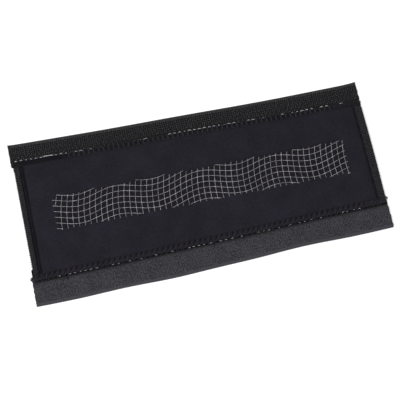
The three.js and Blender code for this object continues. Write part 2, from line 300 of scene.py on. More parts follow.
class Shop:
    """Makes one material and its nodes."""

    def __init__(self, name: str) -> None:
        """Start an empty material with a principled shader."""
        self.material = bpy.data.materials.new(name)
        self.material.use_nodes = True
        self.tree = self.material.node_tree
        self.tree.nodes.clear()
        self.shader = self.tree.nodes.new("ShaderNodeBsdfPrincipled")
        output = self.tree.nodes.new("ShaderNodeOutputMaterial")
        self.tree.links.new(self.shader.outputs["BSDF"], output.inputs["Surface"])

    def put(self, socket: NodeSocket, value: Value) -> None:
        """Give a socket a link or a constant."""
        if isinstance(value, Wire):
            self.tree.links.new(value.socket, socket)
        else:
            socket.default_value = value

    def node(self, kind: str, settings: dict, values: dict, output: str | int = 0) -> Wire:
        """Add a node.

        Args:
            kind: The node's type.
            settings: Its properties, set before its sockets.
            values: Links or constants, by socket name or number.
            output: The output to return.

        Returns:
            The chosen output.
        """
        made = self.tree.nodes.new(kind)
        for key, value in settings.items():
            setattr(made, key, value)
        for key, value in values.items():
            self.put(made.inputs[key], value)
        return Wire(self, made.outputs[output])

    def place(self) -> Wire:
        """Return Object coordinates."""
        return self.node("ShaderNodeTexCoord", {}, {}, "Object")

    def reading(self, name: str) -> Wire:
        """Return a value that the mesh carries at each point."""
        return self.node("ShaderNodeAttribute", {"attribute_name": name}, {}, "Fac")

    def axes(self, vector: Wire) -> tuple[Wire, Wire, Wire]:
        """Return the three parts of a vector."""
        made = self.tree.nodes.new("ShaderNodeSeparateXYZ")
        self.tree.links.new(vector.socket, made.inputs[0])
        return tuple(Wire(self, out) for out in made.outputs)

    def noise(self, vector: Wire, grain: float, detail: float = 2.0, rough: float = 0.5) -> Wire:
        """Return noise from 0 to 1, with the size of its features in millimetres."""
        return self.node(
            "ShaderNodeTexNoise",
            {},
            {"Vector": vector, "Scale": 1.0 / (grain * MM), "Detail": detail, "Roughness": rough},
        )

    def mix(self, factor: Value, a: tuple | Wire, b: tuple | Wire) -> Wire:
        """Return a colour between a and b."""
        made = self.tree.nodes.new("ShaderNodeMix")
        made.data_type = "RGBA"
        sockets = [s for s in made.inputs if s.enabled]
        self.put(sockets[0], factor)
        for socket, value in zip(sockets[1:], (a, b)):
            self.put(socket, value)
        return Wire(self, next(s for s in made.outputs if s.enabled))

    def bump(self, height: Wire, depth: float, strength: float = 1.0) -> Wire:
        """Return a normal bent by a height from 0 to 1, where 1 is a depth in millimetres."""
        return self.node(
            "ShaderNodeBump", {}, {"Height": height, "Distance": depth * MM, "Strength": strength}
        )

    def cycle(self, place: Wire, length: float) -> Wire:
        """Return a sine wave along a coordinate, with its length in millimetres."""
        return (place * (2 * math.pi / (length * MM))).sine()

    def backdrop_rays(self) -> Wire:
        """Return 1 for rays that should see the plain background, and 0 for the others."""
        names = ("Is Camera Ray", "Is Glossy Ray", "Is Transmission Ray")
        camera, glossy, through = (self.node("ShaderNodeLightPath", {}, {}, name) for name in names)
        return (camera + glossy + through).least(1.0)

    def finish(self, **values: Value) -> Material:
        """Set the shader's sockets, given with underscores for spaces, and return the material."""
        for key, value in values.items():
            self.put(self.shader.inputs[key.replace("_", " ")], value)
        return self.material


def grey(level: float, blue: float = 0.0) -> Quad:
    """Return a grey that leans to blue, in linear light."""
    return (level, level * (1.0 - blue * LESS_GREEN), level * (1.0 + blue), 1.0)


@dataclass(frozen=True)
class PanelCloth:
    """Fine jersey knit over foam, with painted shade in its seams and a darker ground under the
    print.
    """

    dark: float = 0.0094
    light: float = 0.0172
    blue: float = 0.31
    # Painted shade: the near-black that the seams' shade, and the print's ground at about a third,
    # mix towards.
    pinched: float = 0.0014
    painted_shade_blue: float = 0.3
    sewn_dark: float = 0.006
    sewn_light: float = 0.024
    sewn_blue: float = 0.12
    wale: float = 0.55
    course: float = 0.42
    wobble: float = 0.5
    knit_depth: float = 0.08
    roughness: float = 0.85

    def material(self) -> Material:
        """Return the panel's material."""
        shop = Shop("panel_knit")
        place = shop.place()
        x, y, _ = shop.axes(place)
        wobble = shop.noise(place, grain=6.0, detail=1.0) * (self.wobble * MM)
        wales = shop.cycle(x + wobble, self.wale) * 0.5 + 0.5
        courses = shop.cycle(y + wobble, self.course) * 0.5 + 0.5
        knit = wales * 0.6 + courses * 0.4
        fuzz = shop.noise(place, grain=1.3, detail=3.0, rough=0.65)
        cloud = shop.noise(place, grain=16.0, detail=3.0)
        tone = (cloud * 0.35 + fuzz * 0.55 + knit * 0.1).over(0.32, 0.68)
        cloth = shop.mix(tone, grey(self.dark, self.blue), grey(self.light, self.blue))
        threads = grey(self.sewn_dark, self.sewn_blue), grey(self.sewn_light, self.sewn_blue)
        mottled = shop.mix(fuzz.over(0.34, 0.66), *threads)
        cloth = shop.mix(shop.reading("sewn"), cloth, mottled)
        # Mix in the painted shade of the seams, and the darker print ground, by the carried pinch
        # number.
        color = shop.mix(shop.reading("pinch"), cloth, grey(self.pinched, self.painted_shade_blue))
        normal = shop.bump(knit * 0.6 + fuzz * 0.4, self.knit_depth, strength=0.8)
        return shop.finish(
            Base_Color=color, Roughness=self.roughness, Normal=normal,
            Specular_IOR_Level=0.06, Sheen_Weight=0.035, Sheen_Roughness=0.5,
        )


@dataclass(frozen=True)
class HookGround:
    """Hook tape's woven ground, painted dark as shade between hooks, with a plain paler selvedge."""

    # The ground's tones under the hooks, painted dark as the shade between them.
    dark: float = 0.0035
    light: float = 0.0100
    selvedge_dark: float = 0.0182
    selvedge_light: float = 0.0325
    selvedge_width: float = 1.6
    binder: float = 0.060
    binder_pitch: float = 1.5
    binder_inside: float = 0.3
    yarn: float = 0.75
    weave_depth: float = 0.14
    roughness: float = 0.75

    def material(self) -> Material:
        """Return the ground's material."""
        shop = Shop("hook_tape_weave")
        place = shop.place()
        x, y, _ = shop.axes(place)
        edge = shop.reading("from_edge")
        weave = shop.cycle(x, self.yarn) * shop.cycle(y, self.yarn) * 0.5 + 0.5
        fuzz = shop.noise(place, grain=0.7, detail=3.0, rough=0.6)
        tone = (weave * 0.5 + fuzz * 0.5).over(0.3, 0.7)
        ground = shop.mix(tone, grey(self.dark, 0.08), grey(self.light, 0.08))
        selvedge = grey(self.selvedge_dark, 0.05), grey(self.selvedge_light, 0.05)
        plain = shop.mix(fuzz.over(0.3, 0.7), *selvedge)
        # Painted shade: inside the selvedge, where the hooks stand, the ground takes the darker
        # tones.
        inner = edge.over(self.selvedge_width - 0.25, self.selvedge_width + 0.15)
        color = shop.mix(inner, plain, ground)
        dots = shop.cycle(x, self.binder_pitch).over(-0.1, 0.8)
        near = (1.0 - (edge - self.selvedge_width - self.binder_inside).size() * 2.4).most(0.0)
        color = shop.mix((dots * near).least(1.0), color, grey(self.binder, 0.03))
        normal = shop.bump(weave, self.weave_depth, strength=0.8)
        return shop.finish(
            Base_Color=color, Roughness=self.roughness, Normal=normal, Specular_IOR_Level=0.15
        )


@dataclass(frozen=True)
class Nylon:
    """Dark monofilament of the hooks, its own dull tone mixed with painted highlights in random
    patches.
    """

    dull: float = 0.014
    # Painted highlight: the tone of the bright patches, where the hooks look lit.
    bright: float = 0.108
    blue: float = 0.10
    roughness: float = 0.42

    def material(self) -> Material:
        """Return the hooks' material."""
        shop = Shop("hook_nylon")
        highlight = shop.noise(shop.place(), grain=1.3, detail=3.0, rough=0.75).over(0.36, 0.66)
        color = shop.mix(highlight, grey(self.dull, self.blue), grey(self.bright, self.blue))
        return shop.finish(Base_Color=color, Roughness=self.roughness, Specular_IOR_Level=0.4)


@dataclass(frozen=True)
class TwillBack:
    """The loop tape's woven back with fine diagonal ribs and a plain paler selvedge."""

    dark: float = 0.010
    light: float = 0.056
    blue: float = 0.13
    rib: float = 1.7
    rib_wobble: float = 1.2
    streak: float = 0.65
    streak_length: float = 1.35
    lean: float = math.radians(55.0)
    selvedge_width: float = 2.0
    selvedge_tone: float = 0.58
    weave_depth: float = 0.16
    roughness: float = 0.9

    def material(self) -> Material:
        """Return the tape back's material."""
        shop = Shop("loop_tape_twill")
        place = shop.place()
        x, y, _ = shop.axes(place)
        wobble = shop.noise(place, grain=3.0, rough=0.6) * (self.rib_wobble * MM)
        across = x * math.sin(self.lean) - y * math.cos(self.lean)
        down = x * math.cos(self.lean) + y * math.sin(self.lean)
        ribs = shop.cycle(across + wobble, self.rib) * 0.5 + 0.5
        ribbed = shop.node(
            "ShaderNodeCombineXYZ", {},
            {"X": across / self.streak, "Y": down / self.streak_length, "Z": 0.0},
        )
        streak = shop.noise(ribbed, grain=1.0, rough=0.6).over(0.34, 0.66)
        speck = shop.noise(place, grain=0.7, rough=0.7).over(0.38, 0.62)
        cloud = shop.noise(place, grain=9.0).over(0.25, 0.75)
        weave = ribs * 0.15 + streak * 0.5 + speck * 0.35
        tone = weave.over(0.12, 0.88) * 0.85 + cloud * 0.15
        edge = shop.reading("from_edge")
        plain = 1.0 - edge.over(self.selvedge_width - 0.4, self.selvedge_width + 0.3)
        tone = tone * (1.0 - plain * 0.65) + plain * self.selvedge_tone
        color = shop.mix(tone, grey(self.dark, self.blue), grey(self.light, self.blue))
        normal = shop.bump(weave, self.weave_depth, strength=0.8)
        return shop.finish(
            Base_Color=color, Roughness=self.roughness, Normal=normal,
            Specular_IOR_Level=0.12, Sheen_Weight=0.05, Sheen_Roughness=0.5,
        )


@dataclass(frozen=True)
class Yarn:
    """Sewing thread or pile yarn of one colour."""

    name: str
    light: float
    dark: float
    blue: float
    roughness: float
    fibre: float = 0.25
    fibre_depth: float = 0.04

    def material(self) -> Material:
        """Return the yarn's material."""
        shop = Shop(self.name)
        fibre = shop.noise(shop.place(), self.fibre, rough=0.6)
        tone = fibre.over(0.3, 0.7)
        color = shop.mix(tone, grey(self.dark, self.blue), grey(self.light, self.blue))
        return shop.finish(
            Base_Color=color, Roughness=self.roughness, Specular_IOR_Level=0.26,
            Normal=shop.bump(fibre, self.fibre_depth, strength=0.6),
        )


@dataclass(frozen=True)
class SilverInk:
    """The raised print: grey ink with bright and worn flecks."""

    dull: float = 0.13
    bright: float = 0.50
    fleck: float = 1.1
    patch: float = 7.0
    grain: float = 0.3
    grain_depth: float = 0.05
    roughness: float = 0.42

    def material(self) -> Material:
        """Return the ink's material."""
        shop = Shop("print_ink")
        place = shop.place()
        fleck = shop.noise(place, self.fleck, rough=0.7).over(0.34, 0.68)
        patch = shop.noise(place, self.patch, detail=1.0).over(0.3, 0.7)
        tone = fleck * 0.75 + patch * 0.25
        color = shop.mix(tone, grey(self.dull, 0.05), grey(self.bright, 0.02))
        normal = shop.bump(shop.noise(place, self.grain), self.grain_depth, strength=0.5)
        return shop.finish(Base_Color=color, Roughness=self.roughness, Normal=normal)


# Geometry node building


class GeoTree:
    """A geometry node tree with named inputs."""

    def __init__(self, name: str, inputs: dict[str, tuple[str, object]]) -> None:
        """Start the tree.

        Args:
            name: The tree's name.
            inputs: Socket type and value of each input, by name.
        """
        self.tree = bpy.data.node_groups.new(name, "GeometryNodeTree")
        face = self.tree.interface
        face.new_socket("Geometry", in_out="INPUT", socket_type="NodeSocketGeometry")
        face.new_socket("Geometry", in_out="OUTPUT", socket_type="NodeSocketGeometry")
        self.values: dict[str, object] = {}
        for label, (kind, value) in inputs.items():
            socket = face.new_socket(label, in_out="INPUT", socket_type=kind)
            self.values[socket.identifier] = value
        self.start = self.tree.nodes.new("NodeGroupInput")
        self.end = self.tree.nodes.new("NodeGroupOutput")

    def given(self, label: str) -> NodeSocket:
        """Return the tree's input of that name."""
        return self.start.outputs[label]

    def node(self, kind: str, settings: dict, values: dict, output: str | int = 0) -> NodeSocket:
        """Add a node and return one of its outputs.

        Args:
            kind: The node's type.
            settings: Its properties, set before its sockets.
            values: Sockets to link or constants, by name or number.
            output: The output to return.

        Returns:
            The chosen output socket.
        """
        made = self.tree.nodes.new(kind)
        for key, value in settings.items():
            setattr(made, key, value)
        for key, value in values.items():
            if isinstance(value, NodeSocket):
                self.tree.links.new(value, made.inputs[key])
            else:
                made.inputs[key].default_value = value
        return made.outputs[output]

    def named(self, label: str) -> NodeSocket:
        """Return a number that the base mesh carries at each point."""
        return self.node("GeometryNodeInputNamedAttribute", {"data_type": "FLOAT"}, {"Name": label})

    def random(self, low: float, high: float) -> NodeSocket:
        """Return a number between two others at each point, drawn with the tree's seed."""
        return self.node(
            "FunctionNodeRandomValue", {"data_type": "FLOAT"},
            {2: low, 3: high, "Seed": self.given("Seed")}, 1,
        )

    def finish(self, geometry: NodeSocket) -> None:
        """End the tree with real geometry in the given material."""
        real = self.node("GeometryNodeRealizeInstances", {}, {"Geometry": geometry})
        dressed = self.node(
            "GeometryNodeSetMaterial", {}, {"Geometry": real, "Material": self.given("Material")}
        )
        self.tree.links.new(dressed, self.end.inputs[0])

    def make(self, base: Mesh, name: str) -> Object:
        """Run the tree on a base mesh.

        Args:
            base: What the tree starts from.
            name: The finished piece's name.

        Returns:
            A plain mesh object with no modifier, and without the numbers of the base mesh.
        """
        holder = add_object(name + "_base", base)
        modifier = holder.modifiers.new("build", "NODES")
        modifier.node_group = self.tree
        for identifier, value in self.values.items():
            modifier[identifier] = value
        seen = holder.evaluated_get(bpy.context.evaluated_depsgraph_get())
        mesh = bpy.data.meshes.new_from_object(seen)
        mesh.name = name
        for label in [layer.name for layer in mesh.attributes if layer.name in CARRIED]:
            mesh.attributes.remove(mesh.attributes[label])
        holder.modifiers.remove(modifier)
        bpy.data.objects.remove(holder)
        return add_object(name, mesh)


def add_object(name: str, mesh: Mesh, material: Material | None = None) -> Object:
    """Put a mesh in the scene at the origin, in a material where one is given."""
    made = bpy.data.objects.new(name, mesh)
    bpy.context.scene.collection.objects.link(made)
    if material is not None:
        mesh.materials.append(material)
    return made


def mesh_of(name: str, points: Array, faces: Sequence = (), edges: Sequence = ()) -> Mesh:
    """Return a mesh in metres from points in millimetres, faces and edges."""
    mesh = bpy.data.meshes.new(name)
    mesh.from_pydata((np.asarray(points) * MM).tolist(), edges, faces)
    mesh.update()
    return mesh


def settle_normals(mesh: Mesh) -> None:
    """Merge doubles, turn all faces outwards and shade the mesh smooth."""
    work = bmesh.new()
    work.from_mesh(mesh)
    bmesh.ops.remove_doubles(work, verts=work.verts, dist=MERGE * MM)
    bmesh.ops.recalc_face_normals(work, faces=work.faces)
    for face in work.faces:
        face.smooth = True
    work.to_mesh(mesh)
    work.free()


def slab(name: str, top: Array, bottom: Array) -> Mesh:
    """Return a closed slab between two grids of points.

    Args:
        name: The mesh's name.
        top: Points as columns by rows by three.
        bottom: Points of the same shape.

    Returns:
        The closed mesh.
    """
    m, n, _ = top.shape
    points = np.concatenate([top.reshape(-1, 3), bottom.reshape(-1, 3)])
    i, j = np.meshgrid(np.arange(m - 1), np.arange(n - 1), indexing="ij")
    a = (i * n + j).ravel()
    quads = np.stack([a, a + n, a + n + 1, a + 1], 1)
    under = np.stack([a, a + 1, a + n + 1, a + n], 1) + m * n
    rim = np.concatenate([
        np.arange(m) * n,
        (m - 1) * n + np.arange(1, n),
        np.arange(m - 2, -1, -1) * n + n - 1,
        np.arange(n - 2, 0, -1),
    ])
    after = np.roll(rim, -1)
    sides = np.stack([rim, rim + m * n, after + m * n, after], 1)
    faces = np.concatenate([quads, under, sides]).tolist()
    mesh = mesh_of(name, points, faces)
    settle_normals(mesh)
    return mesh


def carry(mesh: Mesh, name: str, values: Array) -> None:
    """Store one number at each point of a mesh."""
    layer = mesh.attributes.new(name, "FLOAT", "POINT")
    layer.data.foreach_set("value", np.asarray(values, dtype=np.float32).ravel())


def points_of(mesh: Mesh) -> Array:
    """Return a mesh's points in millimetres."""
    flat = np.empty(len(mesh.vertices) * 3, dtype=np.float32)
    mesh.vertices.foreach_get("co", flat)
    return flat.reshape(-1, 3) / MM


def walk(corners: Array, step: float, soften: int = 1) -> Array:
    """Return a path through corner points with even steps and softened turns.

    Args:
        corners: One row for each corner.
        step: Distance between points.
        soften: Points that each turn is averaged over, to each side.

    Returns:
        The path.
    """
    lengths = np.linalg.norm(np.diff(corners, axis=0), axis=1)
    at = np.concatenate([[0.0], np.cumsum(lengths)])
    places = np.linspace(0.0, at[-1], max(int(at[-1] / step), 2) + 1)
    kernel = np.ones(2 * soften + 1) / (2 * soften + 1)
    path = []
    for column in corners.T:
        padded = np.pad(np.interp(places, at, column), soften, mode="edge")
        path.append(np.convolve(padded, kernel, mode="valid"))
    return np.stack(path, 1)


def thread_mesh(
    name: str,
    paths: Sequence[Array],
    material: Material,
    radius: float,
    flatness: float,
    turns_per_mm: float = 0.0,
    widths: Sequence[Array] | None = None,
) -> Object:
    """Sweep a small oval along each path with geometry nodes.

    Args:
        name: The piece's name.
        paths: Points of each path in millimetres.
        material: What it is made of.
        radius: Half the oval's width in millimetres.
        flatness: The oval's height over its width.
        turns_per_mm: How fast the oval twists along the path.
        widths: Share of the radius at each point of each path, 1 where left out.

    Returns:
        The finished object.
    """
    if widths is None:
        widths = [np.ones(len(path)) for path in paths]
    edges, twist, first = [], [], 0
    for path in paths:
        steps = np.linalg.norm(np.diff(path, axis=0), axis=1)
        walked = np.concatenate([[0.0], np.cumsum(steps)])
        twist.append(walked * turns_per_mm * 2 * math.pi)
        edges += [(first + k, first + k + 1) for k in range(len(path) - 1)]
        first += len(path)
    base = mesh_of(name + "_path", np.concatenate(paths), edges=edges)
    carry(base, "twist", np.concatenate(twist))
    carry(base, "width", np.concatenate(widths))
    geo = GeoTree(name + "_sweep", {
        "Radius": ("NodeSocketFloat", radius * MM),
        "Flatness": ("NodeSocketFloat", flatness),
        "Sides": ("NodeSocketInt", THREAD_SIDES),
        "Material": ("NodeSocketMaterial", material),
    })
    curve = geo.node("GeometryNodeMeshToCurve", {}, {"Mesh": geo.given("Geometry")})
    level = geo.node("GeometryNodeSetCurveNormal", {"mode": "Z_UP"}, {"Curve": curve})
    tilted = geo.node(
        "GeometryNodeSetCurveTilt", {}, {"Curve": level, "Tilt": geo.named("twist")}
    )
    ring = geo.node(
        "GeometryNodeCurvePrimitiveCircle", {"mode": "RADIUS"},
        {"Resolution": geo.given("Sides"), "Radius": geo.given("Radius")},
    )
    shape = geo.node("ShaderNodeCombineXYZ", {}, {"X": geo.given("Flatness"), "Y": 1.0, "Z": 1.0})
    oval = geo.node("GeometryNodeTransform", {}, {"Geometry": ring, "Scale": shape})
    swept = geo.node(
        "GeometryNodeCurveToMesh", {},
        {"Curve": tilted, "Profile Curve": oval, "Scale": geo.named("width"), "Fill Caps": True},
    )
    geo.finish(geo.node("GeometryNodeSetShadeSmooth", {}, {"Geometry": swept}))
    made = geo.make(base, name)
    settle_normals(made.data)
    return made


def bent_wire(name: str, spine: Array, thickness: float) -> Object:
    """Return a small bent wire of three sides, to be copied many times.

    Args:
        name: The object's name.
        spine: Places along x and z that the wire runs through, in millimetres.
        thickness: The wire's thickness in millimetres.

    Returns:
        The object, at the origin.
    """
    points, faces = [], []
    last = len(spine) - 1
    for k, (along, up) in enumerate(spine):
        step = spine[min(k + 1, last)] - spine[max(k - 1, 0)]
        step = step / np.linalg.norm(step)
        for turn in (0.0, 2 * math.pi / 3, 4 * math.pi / 3):
            out = math.cos(turn) * thickness / 2
            aside = math.sin(turn) * thickness / 2
            points.append([along + out * step[1], aside, up - out * step[0]])
    for k in range(last):
        for c in range(3):
            a, b = 3 * k + c, 3 * k + (c + 1) % 3
            faces.append((a, b, b + 3, a + 3))
    faces += [(0, 2, 1), (3 * last, 3 * last + 1, 3 * last + 2)]
    mesh = mesh_of(name, points, faces)
    settle_normals(mesh)
    return add_object(name, mesh)


def scatter(
    name: str,
    places: Sequence[Sequence[float]],
    one: Object,
    material: Material,
    seed: int,
    smallest: float,
    uneven: float = 0.0,
    turns: Sequence[float] | None = None,
) -> Object:
    """Put copies of a small object on points with geometry nodes, and remove the object.

    Args:
        name: The finished piece's name.
        places: Where the copies stand, in millimetres.
        one: What is copied.
        material: What the copies are made of.
        seed: Seed of all that is random.
        smallest: Size of the smallest copies, the largest being 1.
        uneven: Width in which a copy strays from its place in plan, in millimetres.
        turns: Angle of each copy, random where left out.

    Returns:
        The finished object.
    """
    base = mesh_of(name + "_places", places)
    if turns is not None:
        carry(base, "turn", turns)
    geo = GeoTree(name + "_field", {
        "Copied": ("NodeSocketObject", one),
        "Unevenness": ("NodeSocketFloat", uneven * MM),
        "Smallest": ("NodeSocketFloat", smallest),
        "Seed": ("NodeSocketInt", seed),
        "Material": ("NodeSocketMaterial", material),
    })
    drawn = geo.node(
        "FunctionNodeRandomValue", {"data_type": "FLOAT_VECTOR"}, {"Seed": geo.given("Seed")}
    )
    centred = geo.node(
        "ShaderNodeVectorMath", {"operation": "SUBTRACT"}, {0: drawn, 1: (0.5, 0.5, 0.5)}
    )
    width = geo.given("Unevenness")
    reach = geo.node("ShaderNodeCombineXYZ", {}, {"X": width, "Y": width})
    stray = geo.node("ShaderNodeVectorMath", {"operation": "MULTIPLY"}, {0: centred, 1: reach})
    moved = geo.node(
        "GeometryNodeSetPosition", {}, {"Geometry": geo.given("Geometry"), "Offset": stray}
    )
    copied = geo.node(
        "GeometryNodeObjectInfo", {}, {"Object": geo.given("Copied"), "As Instance": True}, "Geometry"
    )
    turn = geo.random(0.0, 2 * math.pi) if turns is None else geo.named("turn")
    spin = geo.node("ShaderNodeCombineXYZ", {}, {"Z": turn})
    size = geo.random(geo.given("Smallest"), 1.0)
    geo.finish(geo.node(
        "GeometryNodeInstanceOnPoints", {},
        {"Points": moved, "Instance": copied, "Rotation": spin, "Scale": size},
    ))
    made = geo.make(base, name)
    bpy.data.objects.remove(one)
    return made


@dataclass(frozen=True)
class Pinch:
    """How a seam pinches one edge of the panel: a low band inside a rim, then a groove."""

    top: float
    band: float
    stitch: float
    first: float
    groove: float
    groove_width: float
    shoulder: float
    dish: float
    arch: float = 0.1
    hole: float = 0.25
    hole_width: float = 0.5
    ripple: float = 0.06
    ripple_reach: float = 1.8
    ripple_start: float = 0.8

    def marks(self, start: float, end: float) -> Array:
        """Return the places of the stitches between two ends of the seam."""
        low = math.ceil((start - self.first) / self.stitch)
        high = math.floor((end - self.first) / self.stitch)
        return self.first + self.stitch * np.arange(low, high + 1)

    def phase(self, t: Array) -> Array:
        """Return 1 at each stitch and -1 half-way between."""
        return np.cos(2 * math.pi * (t - self.first) / self.stitch)

    def height(self, foam: float, busy: Array | float, t: Array, s: Array) -> Array:
        """Return the height of the outer face, before the rim is rounded.

        Args:
            foam: Height of the free foam.
            busy: Share of the dish between stitches that shows.
            t: Place along the edge.
            s: Distance in from it.

        Returns:
            The height.
        """
        past = s - self.band
        phase = self.phase(t)
        body = blend(self.top, foam, ease(past / self.shoulder))
        arch = np.sin(math.pi * np.clip(s / self.band, 0.0, 1.0))
        dome = arch * (self.arch - self.dish * busy * (0.5 - 0.5 * phase))
        pull = self.groove * ridge(past, 0.0, self.groove_width)
        hole = self.hole * np.clip(phase, 0.0, 1.0) ** 3 * ridge(past, 0.0, self.hole_width)
        ripple = self.ripple * phase * np.exp(-np.clip(past, 0.0, None) / self.ripple_reach)
        return body + dome - pull - hole - ripple * ease(past / self.ripple_start)


@dataclass(frozen=True)
class SlantedDents:
    """The slanted dents that the lower seam's looper pulls into its band."""

    depth: float = 0.65
    length: float = 2.9
    lean: float = 0.62
    shift: float = 0.3
    past_needle: float = 0.1
    head_soft: float = 0.35
    tail_soft: float = 0.9
    head_width: float = 0.75
    tail_width: float = 0.38
    clear_of_end: float = 13.0
    end_soft: float = 4.0

    def at(self, pinch: Pinch, end: float, t: Array, s: Array) -> Array:
        """Return 1 in a dent's middle, falling to 0 beside it.

        Args:
            pinch: The pinch of the edge.
            end: The panel's narrow end.
            t: Place along the edge.
            s: Distance in from it.

        Returns:
            The share of the full depth.
        """
        down = pinch.band + self.past_needle - s
        middle = t - self.shift + self.lean * down - pinch.first
        off = (middle + pinch.stitch / 2) % pinch.stitch - pinch.stitch / 2
        shows = ease(down / self.head_soft) * ease((self.length - down) / self.tail_soft)
        shows = shows * ease((end - self.clear_of_end - t) / self.end_soft)
        share = np.clip(down / self.length, 0.0, 1.0)
        return ridge(off, 0.0, blend(self.head_width, self.tail_width, share), 4) * shows


@dataclass(frozen=True)
class GrooveShade:
    """Painted shade in the groove inside an end band, crossed by faint lighter rungs."""

    shift: float
    reach: float
    rungs: float
    rung: float = 1.65

    def at(self, band: float, t: Array, s: Array) -> Array:
        """Return the groove's painted shade at a place along it and a distance in."""
        rungs = 1.0 - self.rungs + self.rungs * np.cos(2 * math.pi * t / self.rung)
        return ridge(s, band + self.shift, self.reach, 4) * rungs


@dataclass(frozen=True)
class SeamShade:
    """Painted shade of the cloth in the seams, as shares of the darkest, and how far it reaches."""

    gap: float = 0.75
    gap_from_rim: float = 0.1
    gap_rim_soft: float = 0.4
    gap_past_needle: float = 0.8
    gap_soft: float = 0.9
    upper_loose: float = 0.88
    upper_busy: float = 0.56
    upper_fading: float = 0.45
    upper_line: float = 0.5
    upper_line_reach: float = 0.5
    dents: float = 0.66
    lower_line: float = 0.4
    lower_line_reach: float = 0.45
    lower_rim: float = 0.95
    lower_rim_reach: float = 1.5
    lower_rim_soft: float = 0.7
    left: GrooveShade = GrooveShade(shift=0.15, reach=1.7, rungs=0.1)
    right: GrooveShade = GrooveShade(shift=0.0, reach=0.85, rungs=0.25)
    clear_of_upper: float = 2.6
    clear_of_lower: float = 4.6
    # How much darker the ground under the print is.
    under_print: float = 0.32


@dataclass(frozen=True)
class PrintGround:
    """The clear ground of the print, where the cloth is darker."""

    left: float = -101.5
    right: float = 105.0
    middle: float = 2.1
    half_height: float = 12.9
    soft: float = 2.0

    def at(self, x: Array, y: Array) -> Array:
        """Return 1 on the ground and 0 elsewhere."""
        along = ease(np.minimum(x - self.left, self.right - x) / self.soft)
        return along * ease((self.half_height - np.abs(y - self.middle)) / self.soft)


